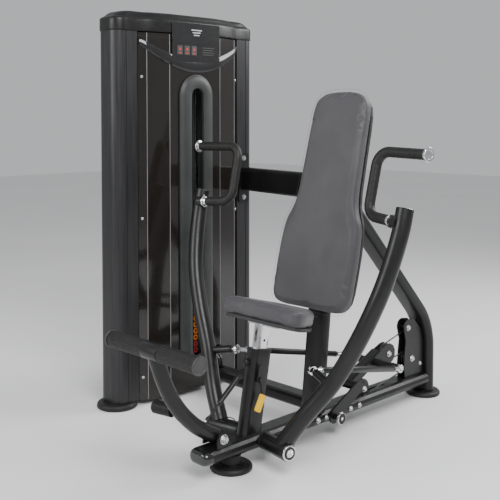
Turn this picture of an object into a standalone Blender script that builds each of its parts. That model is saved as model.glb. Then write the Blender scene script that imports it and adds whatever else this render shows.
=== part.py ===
"""Seated chest press with converging arms, a foot pedal and an enclosed weight tower.

X points to the user's left, -Y to the front and +Z up. The origin is on the floor, under the
middle of the front foot disc, in the mid-plane of the seat. The weight tower stands at -X.
"""
import math

import bmesh
import bpy
from mathutils import Matrix, Vector

# ---- driving dimensions, metres ----
GAP = 0.0003                 # clearance left between pieces that touch
TUBE_WIDTH = 0.100           # oval frame tube, across X
TUBE_HEIGHT = 0.050
TUBE_WALL = 0.003
SPINE_Z = 0.080              # height of the spine's and the cross tube's centre line
SPINE_TOP = SPINE_Z + TUBE_HEIGHT / 2
SPINE_FRONT = -0.125
REAR_POST_Y = 1.169
FOOT_RADIUS = 0.075
FOOT_HEIGHT = 0.022
BACK_SLOPE = 0.2556          # rearward travel of the backrest for each metre of height
BACK_BASE = Vector((0.0, 0.385, 0.525))
PAD_THICKNESS = 0.050
BOARD_THICKNESS = 0.012
SEAT_TILT = math.radians(14.0)
SEAT_LEAN = math.radians(10.5)
SEAT_FRONT_TOP = Vector((0.0, 0.122, 0.569))
SEAT_LENGTH = 0.240
SEAT_THICKNESS = 0.060
ARM_AXIS_POINT = Vector((0.0, 0.115, 0.090))
ARM_TOE_IN = math.radians(10.0)
ARM_RADIUS = 0.030
SLEEVE_START = 0.0610
SLEEVE_END = 0.2030
GRIP_RADIUS = 0.0185
BAR_RADIUS = 0.0125
LINK_FRONT = Vector((0.193, 0.209, 0.345))
LINK_REAR = Vector((0.145, 0.794, 0.219))
ROCKER_PIVOT = Vector((0.0, 0.488, 0.079))
ROCKER_PULLEY = Vector((0.0, 0.890, 0.235))
REAR_PULLEY = Vector((0.0, 1.056, 0.182))
CABLE_ANCHOR = Vector((0.0, 1.027, 0.321))
LOW_PULLEY = Vector((0.0, 0.725, 0.122))
CABLE_RADIUS = 0.003
GROOVE_PLAY = 0.0012         # between a cable and the bottom of its groove
CABLE_Z = 0.0835
CROSS_Y = 0.550
TOWER_MID_Y = 0.450
COLUMN_FACE_X = -0.749       # column face on the seat's side
COLUMN_BACK_X = -0.889
COLUMN_DEPTH = 0.110
COLUMN_OUTER_Y = 0.0525      # front face of the front column
COLUMN_TOP = 1.590
CAP_TOP = 1.645
CROWN_TOP = 1.676
STACK_X = -0.815
ROD_SPREAD = 0.090
PLATE_PITCH = 0.029
PLATE_SIZE = Vector((0.100, 0.290, 0.0283))
STACK_BOTTOM = 0.160
RESTING_PLATES = 9
LIFTED_PLATES = 4
PEDAL_PIVOT = Vector((0.0, -0.070, 0.132))
ROLLER_AXIS = Vector((0.0, -0.340, 0.480))
ROLLER_RADIUS = 0.0285
ROLLER_HALF = 0.227
STRUT_TOP = Vector((0.0, 0.036, 0.318))
STRUT_FOOT = Vector((0.0, -0.118, 0.196))


# ---- materials ----
def surface(name, colour, roughness, metallic):
    material = bpy.data.materials.new(name)
    material.use_nodes = True
    shader = material.node_tree.nodes["Principled BSDF"]
    shader.inputs["Base Color"].default_value = (*colour, 1.0)
    shader.inputs["Roughness"].default_value = roughness
    shader.inputs["Metallic"].default_value = metallic
    material.diffuse_color = (*colour, 1.0)
    return material


FINISHES = {
    "powder_coat": ((0.012, 0.012, 0.013), 0.45, 0.0),
    "anodised": ((0.050, 0.051, 0.055), 0.38, 0.8),
    "chrome": ((0.80, 0.80, 0.82), 0.12, 1.0),
    "cast_iron": ((0.020, 0.020, 0.022), 0.55, 0.3),
    "rubber": ((0.015, 0.015, 0.014), 0.75, 0.0),
    "black_plastic": ((0.010, 0.010, 0.011), 0.35, 0.0),
    "smoked_panel": ((0.030, 0.026, 0.024), 0.10, 0.0),
    "grey_plastic": ((0.055, 0.060, 0.060), 0.50, 0.0),
    "vinyl": ((0.100, 0.098, 0.110), 0.50, 0.0),
    "board": ((0.020, 0.020, 0.020), 0.70, 0.0),
    "yellow_grip": ((0.850, 0.560, 0.020), 0.45, 0.0),
    "cable": ((0.015, 0.015, 0.015), 0.35, 0.0),
}


def make_object(name, mesh_data, finish):
    """Turn a bmesh into a named, smooth-shaded object with its own material."""
    bmesh.ops.recalc_face_normals(mesh_data, faces=mesh_data.faces)
    mesh = bpy.data.meshes.new(name)
    mesh_data.to_mesh(mesh)
    mesh_data.free()
    mesh.materials.append(surface(name + "_" + finish, *FINISHES[finish]))
    mesh.shade_smooth()
    mesh.set_sharp_from_angle(angle=math.radians(35))
    result = bpy.data.objects.new(name, mesh)
    bpy.context.collection.objects.link(result)
    return result


def make_guide(name, mesh_data):
    """A Boolean operand: it takes part in a modifier and is no piece itself."""
    guide = make_object(name, mesh_data, "powder_coat")
    guide.hide_render = True
    guide.display_type = "WIRE"
    return guide


def boolean(target, guide, operation):
    modifier = target.modifiers.new(guide.name, "BOOLEAN")
    modifier.operation = operation
    modifier.solver = "EXACT"
    modifier.object = guide


def weld(target, label, mesh_data):
    boolean(target, make_guide(target.name + "_" + label, mesh_data), "UNION")


def cut(target, label, mesh_data):
    boolean(target, make_guide(target.name + "_" + label, mesh_data), "DIFFERENCE")


# ---- outlines, as (u, v) points counter-clockwise ----
def arc(centre_u, centre_v, radius, start_deg, end_deg, steps):
    points = []
    for i in range(steps + 1):
        angle = math.radians(start_deg + (end_deg - start_deg) * i / steps)
        points.append((centre_u + radius * math.cos(angle), centre_v + radius * math.sin(angle)))
    return points


def circle(radius, steps):
    return arc(0.0, 0.0, radius, 0.0, 360.0 * (steps - 1) / steps, steps - 1)


def stadium(width, height, steps=6):
    reach = (width - height) / 2
    radius = height / 2
    return arc(reach, 0, radius, -90, 90, steps) + arc(-reach, 0, radius, 90, 270, steps)


def rounded_rectangle(width, height, radius, steps=3):
    u, v = width / 2 - radius, height / 2 - radius
    corners = ((u, -v, -90), (u, v, 0), (-u, v, 90), (-u, -v, 180))
    points = []
    for corner_u, corner_v, start in corners:
        points += arc(corner_u, corner_v, radius, start, start + 90, steps)
    return points


def strap(first, first_radius, second, second_radius, steps=7):
    """Outline of a link plate around two (u, v) centres."""
    du, dv = second[0] - first[0], second[1] - first[1]
    heading = math.degrees(math.atan2(dv, du))
    flare = math.degrees(math.asin((first_radius - second_radius) / math.hypot(du, dv)))
    return (arc(*second, second_radius, heading - 90 + flare, heading + 90 - flare, steps)
            + arc(*first, first_radius, heading + 90 - flare, heading + 270 + flare, steps))


# ---- solids ----
def smooth_route(points, steps=4):
    """Catmull-Rom curve through the points, as a list of vectors."""
    knots = [Vector(p) for p in points]
    knots = [2 * knots[0] - knots[1]] + knots + [2 * knots[-1] - knots[-2]]
    route = []
    for i in range(1, len(knots) - 2):
        a, b, c, d = knots[i - 1:i + 3]
        for k in range(steps):
            t = k / steps
            route.append(0.5 * (2 * b + (c - a) * t + (2 * a - 5 * b + 4 * c - d) * t * t
                                + (3 * b - a - 3 * c + d) * t ** 3))
    route.append(knots[-2])
    return route


def rounded_route(points, radius, steps=6):
    """Straight runs joined by arcs of one radius."""
    knots = [Vector(p) for p in points]
    route = [knots[0]]
    for before, corner, after in zip(knots, knots[1:], knots[2:]):
        arrive = (corner - before).normalized()
        leave = (after - corner).normalized()
        turn = arrive.angle(leave)
        reach = radius * math.tan(turn / 2)
        centre = corner + (leave - arrive).normalized() * radius / math.cos(turn / 2)
        start = corner - arrive * reach - centre
        axis = arrive.cross(leave).normalized()
        for i in range(steps + 1):
            route.append(centre + Matrix.Rotation(turn * i / steps, 3, axis) @ start)
    route.append(knots[-1])
    return route


def sweep(mesh_data, route, section, side, scales=None, ends=(None, None), wall=0.0):
    """Carry a section along a route. ends holds cutting planes as (point, normal)."""
    scales = scales or [1.0] * len(route)
    sections = [section]
    if wall:
        reach = max(v for _, v in section)
        shrink = (reach - wall) / reach
        centre_u = max(u for u, _ in section) - reach
        inner = [(u * shrink if abs(u) <= centre_u
                  else math.copysign(centre_u + (abs(u) - centre_u) * shrink, u), v * shrink)
                 for u, v in section]
        sections.append(inner)
    shells = []
    for outline in sections:
        rings = []
        for i, centre in enumerate(route):
            before, after = route[max(i - 1, 0)], route[min(i + 1, len(route) - 1)]
            along = (after - before).normalized()
            across = (side - side.dot(along) * along).normalized()
            up = along.cross(across)
            points = [centre + scales[i] * (u * across + v * up) for u, v in outline]
            plane = ends[0] if i == 0 else ends[1] if i == len(route) - 1 else None
            if plane:
                spot, normal = plane
                points = [p + along * (spot - p).dot(normal) / along.dot(normal) for p in points]
            rings.append([mesh_data.verts.new(p) for p in points])
        shells.append(rings)
    count = len(section)
    for rings in shells:
        for low, high in zip(rings, rings[1:]):
            for j in range(count):
                k = (j + 1) % count
                mesh_data.faces.new((low[j], low[k], high[k], high[j]))
    for end in (0, -1):
        if wall:
            outer, inner = shells[0][end], shells[1][end]
            for j in range(count):
                k = (j + 1) % count
                mesh_data.faces.new((outer[j], outer[k], inner[k], inner[j]))
        else:
            mesh_data.faces.new(shells[0][end])


def turned(mesh_data, profile, origin, axis, steps=20, ring=False):
    """Turn a profile of (radius, height) points about an axis; ring closes the profile."""
    axis = Vector(axis).normalized()
    across = axis.orthogonal().normalized()
    up = axis.cross(across)
    loops = []
    for radius, height in profile:
        centre = Vector(origin) + axis * height
        if radius == 0.0:
            loops.append([mesh_data.verts.new(centre)] * steps)
            continue
        loop = []
        for j in range(steps):
            angle = 2 * math.pi * j / steps
            loop.append(mesh_data.verts.new(
                centre + radius * (math.cos(angle) * across + math.sin(angle) * up)))
        loops.append(loop)
    pairs = list(zip(loops, loops[1:]))
    if ring:
        pairs.append((loops[-1], loops[0]))
    for low, high in pairs:
        for j in range(steps):
            k = (j + 1) % steps
            corners = list(dict.fromkeys((low[j], low[k], high[k], high[j])))
            if len(corners) > 2:
                mesh_data.faces.new(corners)


def rod(mesh_data, start, end, radius, steps=16):
    start, end = Vector(start), Vector(end)
    length = (end - start).length
    turned(mesh_data, [(0.0, 0.0), (radius, 0.0), (radius, length), (0.0, length)],
           start, end - start, steps)


def collar(mesh_data, origin, axis, outer, inner, start, end, steps=20):
    turned(mesh_data, [(inner, start), (outer, start), (outer, end), (inner, end)],
           origin, axis, steps, ring=True)


def plate(mesh_data, outline, origin, across, up, thickness):
    """Extrude an outline by thickness along across x up, from the origin's plane."""
    across, up = Vector(across), Vector(up)
    normal = across.cross(up).normalized()
    origin = Vector(origin)
    low = [mesh_data.verts.new(origin + u * across + v * up) for u, v in outline]
    high = [mesh_data.verts.new(p.co + normal * thickness) for p in low]
    mesh_data.faces.new(low)
    mesh_data.faces.new(high)
    for j in range(len(low)):
        k = (j + 1) % len(low)
        mesh_data.faces.new((low[j], low[k], high[k], high[j]))


def block(mesh_data, low, high):
    (x0, y0, z0), (x1, y1, z1) = low, high
    plate(mesh_data, [(x0, y0), (x1, y0), (x1, y1), (x0, y1)], (0, 0, z0), (1, 0, 0), (0, 1, 0),
          z1 - z0)


def side_plate(mesh_data, outline, x_low, thickness):
    """A plate that lies in a Y-Z plane; its outline holds (y, z) points."""
    plate(mesh_data, outline, (x_low, 0, 0), (0, 1, 0), (0, 0, 1), thickness)


def pad(mesh_data, outline, thickness, origin, across, up, edge):
    """A cushion: an outline extruded with its edges drawn in on both faces."""
    across, up = Vector(across), Vector(up)
    normal = across.cross(up).normalized()
    count = len(outline)
    normals = []
    for i in range(count):
        du = outline[(i + 1) % count][0] - outline[i - 1][0]
        dv = outline[(i + 1) % count][1] - outline[i - 1][1]
        length = math.hypot(du, dv)
        normals.append((dv / length, -du / length))
    levels = [(0.0, edge), (edge * 0.3, edge * 0.3), (edge, 0.0),
              (thickness - edge, 0.0), (thickness - edge * 0.3, edge * 0.3), (thickness, edge)]
    rings = []
    for height, inset in levels:
        ring = []
        for (u, v), (nu, nv) in zip(outline, normals):
            spot = origin + (u - nu * inset) * across + (v - nv * inset) * up
            ring.append(mesh_data.verts.new(spot + height * normal))
        rings.append(ring)
    for low, high in zip(rings, rings[1:]):
        for j in range(count):
            k = (j + 1) % count
            mesh_data.faces.new((low[j], low[k], high[k], high[j]))
    mesh_data.faces.new(rings[0])
    mesh_data.faces.new(rings[-1])


def mirrored(point, side):
    return Vector((point[0] * side, point[1], point[2]))


def arm_axis(side):
    return Vector((math.cos(ARM_TOE_IN) * side, -math.sin(ARM_TOE_IN), 0.0))


SIDES = (("right", -1.0), ("left", 1.0))


# ---- frame ----
def build_spine():
    mesh_data = bmesh.new()
    route = [Vector((0, SPINE_FRONT, SPINE_Z)),
             Vector((0, REAR_POST_Y - TUBE_HEIGHT / 2 - GAP, SPINE_Z))]
    sweep(mesh_data, route, stadium(TUBE_WIDTH, TUBE_HEIGHT), Vector((1, 0, 0)), wall=TUBE_WALL)
    spine = make_object("base_spine", mesh_data, "powder_coat")
    mesh_data = bmesh.new()
    block(mesh_data, (-0.0125, LOW_PULLEY.y - 0.052, SPINE_Z), (0.0125, LOW_PULLEY.y + 0.052, 0.12))
    cut(spine, "pulley_slot", mesh_data)
    mesh_data = bmesh.new()
    block(mesh_data, (-0.0060, LOW_PULLEY.y + 0.050, SPINE_Z), (0.0060, LOW_PULLEY.y + 0.152, 0.12))
    cut(spine, "cable_slot", mesh_data)
    mesh_data = bmesh.new()
    profile = [(0.0, 0.0490), (0.0105, 0.0490), (0.0105, 0.0900), (0.0245, 0.0901),
               (0.0245, 0.0960), (0.0200, 0.0990), (0.0, 0.0990)]
    turned(mesh_data, profile, ROCKER_PIVOT, (1, 0, 0), 20)
    weld(spine, "rocker_shaft", mesh_data)
    mesh_data = bmesh.new()
    rod(mesh_data, (-0.06, CROSS_Y, CABLE_Z), (-0.03, CROSS_Y, CABLE_Z), 0.008, 12)
    cut(spine, "cable_port", mesh_data)
    for name, side in SIDES:
        mesh_data = bmesh.new()
        profile = [(0.0, 0.0485), (0.0200, 0.0485), (0.0200, 0.0605), (0.0125, 0.0606),
                   (0.0125, SLEEVE_END - 0.001), (0.0, SLEEVE_END - 0.001)]
        turned(mesh_data, profile, ARM_AXIS_POINT, arm_axis(side), 24)
        weld(spine, "arm_shaft_" + name, mesh_data)


def build_front_cap():
    """Rounded plastic plug over the front end of the spine."""
    mesh_data = bmesh.new()
    start = SPINE_FRONT - GAP
    steps = ((0.0, 1.0), (0.014, 0.98), (0.024, 0.90), (0.031, 0.74), (0.035, 0.45))
    route = [Vector((0, start - depth, SPINE_Z)) for depth, _ in steps]
    sweep(mesh_data, route, stadium(TUBE_WIDTH, TUBE_HEIGHT), Vector((1, 0, 0)),
          scales=[scale for _, scale in steps])
    make_object("front_end_cap", mesh_data, "black_plastic")


def foot_profile(neck_top):
    return [(0.0, 0.0), (FOOT_RADIUS - 0.003, 0.0), (FOOT_RADIUS, 0.004),
            (FOOT_RADIUS, 0.014), (FOOT_RADIUS - 0.006, 0.0200), (0.034, FOOT_HEIGHT),
            (0.034, neck_top), (0.0, neck_top)]


def build_spine_feet():
    mesh_data = bmesh.new()
    turned(mesh_data, foot_profile(SPINE_Z - TUBE_HEIGHT / 2 - GAP), (0, 0, 0), (0, 0, 1), 28)
    make_object("front_foot_disc", mesh_data, "rubber")
    mesh_data = bmesh.new()
    turned(mesh_data, foot_profile(FOOT_HEIGHT + 0.002), (0, REAR_POST_Y, 0), (0, 0, 1), 28)
    make_object("rear_foot_disc", mesh_data, "rubber")


def back_post_y(z):
    """Centre line of the backrest post where it follows the pad."""
    depth = PAD_THICKNESS + BOARD_THICKNESS + 0.001
    slant = math.sqrt(1 + BACK_SLOPE ** 2)
    return BACK_BASE.y + BACK_SLOPE * (z - BACK_BASE.z) + (depth + TUBE_HEIGHT / 2) * slant


def build_backrest_post():
    mesh_data = bmesh.new()
    bend = Vector((0, back_post_y(0.50), 0.50))
    route = rounded_route([(0, 0.428, SPINE_TOP + GAP), bend, (0, back_post_y(1.12), 1.12)], 0.45)
    floor_plane = (Vector((0, 0, SPINE_TOP + GAP)), Vector((0, 0, 1)))
    sweep(mesh_data, route, stadium(TUBE_WIDTH, TUBE_HEIGHT), Vector((1, 0, 0)),
          ends=(floor_plane, None), wall=TUBE_WALL)
    make_object("backrest_post", mesh_data, "powder_coat")


def build_rear_brace():
    mesh_data = bmesh.new()
    post_back = Vector((0, back_post_y(0.90), 0.90))
    up_post = Vector((0, BACK_SLOPE, 1)).normalized()
    outward = Vector((0, up_post.z, -up_post.y))
    plane = (post_back + outward * (TUBE_HEIGHT / 2 + GAP), outward)
    floor_plane = (Vector((0, 0, FOOT_HEIGHT + 0.002 + GAP)), Vector((0, 0, 1)))
    route = rounded_route([(0, REAR_POST_Y, FOOT_HEIGHT + 0.002 + GAP),
                           (0, REAR_POST_Y, 0.322), (0, 0.600, 0.912)], 0.26, 8)
    sweep(mesh_data, route, stadium(TUBE_WIDTH, TUBE_HEIGHT), Vector((1, 0, 0)),
          ends=(floor_plane, plane), wall=TUBE_WALL)
    make_object("rear_brace", mesh_data, "powder_coat")


def build_seat_sleeve():
    mesh_data = bmesh.new()
    top = Vector((0, 0.140, 0.400))
    lean = Vector((0, math.sin(SEAT_LEAN), math.cos(SEAT_LEAN)))
    foot = top - lean * (top.z - SPINE_TOP - GAP) / lean.z
    floor_plane = (Vector((0, 0, SPINE_TOP + GAP)), Vector((0, 0, 1)))
    sweep(mesh_data, [foot, top], stadium(TUBE_WIDTH, TUBE_HEIGHT), Vector((0, 1, 0)),
          ends=(floor_plane, None), wall=TUBE_WALL)
    make_object("seat_post_sleeve", mesh_data, "powder_coat")


def build_cross_tube():
    mesh_data = bmesh.new()
    route = [Vector((-0.7797, CROSS_Y, SPINE_Z)), Vector((-TUBE_WIDTH / 2 - GAP, CROSS_Y, SPINE_Z))]
    sweep(mesh_data, route, stadium(TUBE_WIDTH, TUBE_HEIGHT), Vector((0, 1, 0)), wall=TUBE_WALL)
    tube = make_object("cross_tube", mesh_data, "powder_coat")
    mesh_data = bmesh.new()
    block(mesh_data, (-0.754, CROSS_Y - 0.0125, SPINE_Z), (-0.646, CROSS_Y + 0.0125, 0.12))
    cut(tube, "slot", mesh_data)
    reach = 0.030
    outline = [(BASE_PULLEY.x + reach, SPINE_TOP - 0.001)]
    outline += arc(BASE_PULLEY.x, BASE_PULLEY.z, reach, 0, 180, 10)
    outline += [(BASE_PULLEY.x - reach, SPINE_TOP - 0.001)]
    for label, offset in (("front", -0.0145), ("rear", 0.0185)):
        mesh_data = bmesh.new()
        plate(mesh_data, outline, (0, CROSS_Y + offset, 0), (1, 0, 0), (0, 0, 1), 0.004)
        weld(tube, "cheek_" + label, mesh_data)
    mesh_data = bmesh.new()
    reach = Vector((0, 0.0165, 0))
    rod(mesh_data, BASE_PULLEY - reach, BASE_PULLEY + reach, 0.006, 14)
    weld(tube, "axle", mesh_data)


TIE_BAR_ENDS = (Vector((-0.7425, 0.7790, 0.940)), Vector((-0.0572, 0.6526, 0.940)))


def build_upper_tie_bar():
    mesh_data = bmesh.new()
    across = Vector((0, 0, 1))
    planes = ((TIE_BAR_ENDS[0], Vector((1, 0, 0))), (TIE_BAR_ENDS[1], Vector((1, 0, 0))))
    sweep(mesh_data, list(TIE_BAR_ENDS), stadium(0.110, 0.040), across, ends=planes,
          wall=TUBE_WALL)
    bar = make_object("upper_tie_bar", mesh_data, "powder_coat")
    centre_y, centre_z = TIE_BAR_ENDS[0].y - 0.003, 0.945
    outline = [(centre_y + u, centre_z + v) for u, v in rounded_rectangle(0.062, 0.230, 0.010)]
    mesh_data = bmesh.new()
    side_plate(mesh_data, outline, COLUMN_FACE_X + GAP, 0.0070)
    weld(bar, "tower_flange", mesh_data)
    outline = [(0.642 + u, 0.930 + v) for u, v in rounded_rectangle(0.106, 0.150, 0.015)]
    mesh_data = bmesh.new()
    side_plate(mesh_data, outline, -TUBE_WIDTH / 2 - GAP - 0.0070, 0.0070)
    weld(bar, "post_flange", mesh_data)
    middle = (TIE_BAR_ENDS[0] + TIE_BAR_ENDS[1]) / 2
    mesh_data = bmesh.new()
    rod(mesh_data, middle, middle + Vector((0, 0.05, 0)), 0.006, 12)
    cut(bar, "vent_hole", mesh_data)


def axle_between(mesh_data, centre, reach, radius, steps=14):
    rod(mesh_data, centre - Vector((reach, 0, 0)), centre + Vector((reach, 0, 0)), radius, steps)


def build_fork(name, outline, inner, thickness, axles):
    """Two cheek plates in Y-Z planes, joined by their axles, given as (centre, radius)."""
    mesh_data = bmesh.new()
    side_plate(mesh_data, outline, inner, thickness)
    fork = make_object(name, mesh_data, "powder_coat")
    mesh_data = bmesh.new()
    side_plate(mesh_data, outline, -inner - thickness, thickness)
    weld(fork, "far_cheek", mesh_data)
    for i, (centre, radius) in enumerate(axles):
        mesh_data = bmesh.new()
        axle_between(mesh_data, centre, inner + thickness / 2, radius)
        weld(fork, f"axle_{i}", mesh_data)


def build_forks():
    outline = [(1.005, SPINE_TOP + GAP), (1.138, SPINE_TOP + GAP), (1.138, 0.250)]
    outline += [(1.120, 0.305), (1.070, 0.352), (1.030, 0.358)]
    outline += arc(1.027, 0.327, 0.030, 95, 190, 4)
    outline += [(1.012, 0.270), (1.004, 0.215), (1.000, 0.160)]
    build_fork("rear_pulley_bracket", outline, 0.0145, 0.005, [(REAR_PULLEY, 0.006), (CABLE_ANCHOR, 0.008)])
    outline = [(LOW_PULLEY.y - 0.030, SPINE_TOP + GAP), (LOW_PULLEY.y + 0.030, SPINE_TOP + GAP)]
    outline += arc(LOW_PULLEY.y, LOW_PULLEY.z + 0.002, 0.026, 0, 180, 10)
    build_fork("low_pulley_bracket", outline, 0.0145, 0.004, [(LOW_PULLEY, 0.006)])
    outline = [(PEDAL_PIVOT.y - 0.030, SPINE_TOP + GAP), (PEDAL_PIVOT.y + 0.034, SPINE_TOP + GAP)]
    outline += arc(PEDAL_PIVOT.y, PEDAL_PIVOT.z + 0.004, 0.026, 0, 180, 8)
    build_fork("pedal_bracket", outline, 0.0340, 0.006, [(PEDAL_PIVOT, 0.008)])


# ---- tower ----
def column_outline(sign):
    """Plan of one column as (x, y); sign -1 is the front column, +1 the rear one."""
    inner = TOWER_MID_Y + sign * (TOWER_MID_Y - COLUMN_OUTER_Y - COLUMN_DEPTH)
    outer = TOWER_MID_Y + sign * (TOWER_MID_Y - COLUMN_OUTER_Y)
    radius = 0.048
    points = [(COLUMN_FACE_X, inner)]
    points += arc(COLUMN_FACE_X - radius, outer - sign * radius, radius, 0, 90 * sign, 5)
    points += arc(COLUMN_BACK_X + radius, outer - sign * radius, radius, 90 * sign, 180 * sign, 5)
    points += [(COLUMN_BACK_X, inner)]
    return points


def build_columns():
    for name, sign in (("column_front", -1.0), ("column_rear", 1.0)):
        outline = column_outline(sign)
        middle = Vector((COLUMN_FACE_X + COLUMN_BACK_X, 0)) / 2
        middle.y = sum(v for _, v in outline) / len(outline)
        wall = 0.006
        inner = []
        for u, v in outline:
            width = COLUMN_FACE_X - COLUMN_BACK_X
            scale_u = (width - 2 * wall) / width
            scale_v = (COLUMN_DEPTH - 2 * wall) / COLUMN_DEPTH
            centre_v = TOWER_MID_Y + sign * (TOWER_MID_Y - COLUMN_OUTER_Y - COLUMN_DEPTH / 2)
            inner.append((middle.x + (u - middle.x) * scale_u, centre_v + (v - centre_v) * scale_v))
        mesh_data = bmesh.new()
        rings = []
        for shape, z in ((outline, 0.0253), (outline, COLUMN_TOP), (inner, COLUMN_TOP), (inner, 0.0253)):
            rings.append([mesh_data.verts.new((x, y, z)) for x, y in shape])
        for low, high in zip(rings, rings[1:] + rings[:1]):
            for j in range(len(low)):
                k = (j + 1) % len(low)
                mesh_data.faces.new((low[j], low[k], high[k], high[j]))
        make_object(name, mesh_data, "anodised")


def build_tower_feet():
    for name, sign in (("tower_front_foot", -1.0), ("tower_rear_foot", 1.0)):
        centre_y = TOWER_MID_Y + sign * (TOWER_MID_Y - COLUMN_OUTER_Y - 0.042)
        mesh_data = bmesh.new()
        turned(mesh_data, [(0.0, 0.0), (0.082, 0.0), (0.086, 0.004), (0.086, 0.018),
                           (0.080, 0.025), (0.0, 0.025)],
               ((COLUMN_FACE_X + COLUMN_BACK_X) / 2 + 0.008, centre_y, 0), (0, 0, 1), 28)
        make_object(name, mesh_data, "rubber")


COLUMN_INNER_Y = COLUMN_OUTER_Y + COLUMN_DEPTH + GAP
BEAM_X = (-0.855, -0.780)
TOP_BEAM = (1.368, 1.392)
TOP_PULLEY = Vector((-0.7775, 0.500, 1.462))
TOP_PULLEY_AXIS = Vector((0.8, -0.6, 0.0))
TOP_CABLE_RADIUS = 0.0625
BASE_PULLEY = Vector((-0.698, CROSS_Y, CABLE_Z + 0.042))


def across_columns(depth_margin=0.0):
    return COLUMN_INNER_Y + depth_margin, 2 * TOWER_MID_Y - COLUMN_INNER_Y - depth_margin


def build_tower_beams():
    low_y, high_y = across_columns()
    mesh_data = bmesh.new()
    block(mesh_data, (BEAM_X[0], low_y, 0.035), (BEAM_X[1], high_y, 0.092))
    base = make_object("tower_base_beam", mesh_data, "powder_coat")
    mesh_data = bmesh.new()
    block(mesh_data, (BEAM_X[0], low_y, TOP_BEAM[0]), (-0.7550, high_y, TOP_BEAM[1]))
    beam = make_object("tower_top_beam", mesh_data, "anodised")
    mesh_data = bmesh.new()
    rod(mesh_data, (STACK_X, TOWER_MID_Y, 1.35), (STACK_X, TOWER_MID_Y, 1.41), 0.008, 12)
    for spot in rod_feet():
        rod(mesh_data, spot + Vector((0, 0, 1.35)), spot + Vector((0, 0, 1.41)), 0.0102, 12)
    cut(beam, "ports", mesh_data)
    for i, spot in enumerate(rod_feet()):
        mesh_data = bmesh.new()
        collar(mesh_data, spot, (0, 0, 1), 0.022, 0.0104, 0.088, STACK_BOTTOM - GAP, 14)
        weld(base, f"buffer_{i}", mesh_data)
        mesh_data = bmesh.new()
        rod(mesh_data, spot + Vector((0, 0, 0.060)), spot + Vector((0, 0, 0.1)), 0.0104, 14)
        cut(base, f"socket_{i}", mesh_data)
    along = Vector((0.6, 0.8, 0))
    outline = [(-0.018, TOP_BEAM[1] - 0.002 - TOP_PULLEY.z), (0.018, TOP_BEAM[1] - 0.002 - TOP_PULLEY.z)]
    outline += arc(0, 0.004, 0.018, 0, 180, 8)
    for label, offset in (("outer", -0.0145), ("inner", 0.0185)):
        mesh_data = bmesh.new()
        plate(mesh_data, outline, TOP_PULLEY - TOP_PULLEY_AXIS * offset, along, (0, 0, 1), 0.004)
        weld(beam, "cheek_" + label, mesh_data)
    mesh_data = bmesh.new()
    reach = TOP_PULLEY_AXIS * 0.0165
    rod(mesh_data, TOP_PULLEY - reach, TOP_PULLEY + reach, 0.006, 14)
    weld(beam, "axle", mesh_data)


def rod_feet():
    return [Vector((STACK_X, TOWER_MID_Y + sign * ROD_SPREAD, 0)) for sign in (-1, 1)]


def panel_line(offset=0.0):
    """Plan of the faceted front panel, as (x, y) from front to rear."""
    half = ((-0.751, 0.1665), (-0.730, 0.1980), (-0.710, 0.3050))
    front = [(x - offset, y) for x, y in half]
    rear = [(x, 2 * TOWER_MID_Y - y) for x, y in reversed(front)]
    return front + rear


def panel_face_x(reach):
    """Height in X of the panel's outer face at a distance along Y from the tower's middle."""
    y = TOWER_MID_Y - abs(reach)
    for (x0, y0), (x1, y1) in zip(panel_line(), panel_line()[1:]):
        if y0 <= y <= y1:
            return x0 + (x1 - x0) * (y - y0) / (y1 - y0)
    return COLUMN_FACE_X


def build_front_panel():
    thickness = 0.003
    outline = panel_line(thickness) + list(reversed(panel_line()))
    mesh_data = bmesh.new()
    plate(mesh_data, outline, (0, 0, 0.022), (1, 0, 0), (0, 1, 0), COLUMN_TOP - 0.004 - 0.022)
    panel = make_object("front_panel", mesh_data, "smoked_panel")
    mesh_data = bmesh.new()
    low, high = SLOT_LOW, SLOT_HIGH
    outline = arc(TOWER_MID_Y, high, SLOT_HALF + 0.012, 0, 180, 10) + arc(
        TOWER_MID_Y, low, SLOT_HALF + 0.012, 180, 360, 10)
    side_plate(mesh_data, outline, -0.73, 0.04)
    cut(panel, "panel_slot", mesh_data)
    mesh_data = bmesh.new()
    block(mesh_data, (-0.73, CROSS_Y - 0.054, 0.0), (-0.69, CROSS_Y + 0.054, 0.192))
    cut(panel, "panel_notch", mesh_data)


SLOT_LOW = 0.205
SLOT_HIGH = 1.322
SLOT_HALF = 0.034
SLOT_RIM = 0.094


def build_slot_frame():
    """Moulded arch around the opening that the selector pin is reached through."""
    mesh_data = bmesh.new()
    loops = []
    for radius, x in ((SLOT_HALF, -0.7060), (SLOT_RIM, -0.7090), (SLOT_RIM, -0.7003), (0.085, -0.694),
                      (0.046, -0.688), (SLOT_HALF, -0.6920)):
        outline = arc(TOWER_MID_Y, SLOT_HIGH, radius, 0, 180, 12) + arc(
            TOWER_MID_Y, SLOT_LOW, radius, 180, 360, 12)
        loops.append([mesh_data.verts.new((x, y, z)) for y, z in outline])
    for low, high in zip(loops, loops[1:] + loops[:1]):
        for j in range(len(low)):
            k = (j + 1) % len(low)
            mesh_data.faces.new((low[j], low[k], high[k], high[j]))
    make_object("slot_frame", mesh_data, "grey_plastic")


def build_back_panel():
    low_y, high_y = across_columns(0.0002)
    mesh_data = bmesh.new()
    block(mesh_data, (COLUMN_BACK_X + 0.002, low_y, 0.030),
          (COLUMN_BACK_X + 0.005, high_y, COLUMN_TOP - 0.004))
    make_object("back_panel", mesh_data, "black_plastic")


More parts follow.
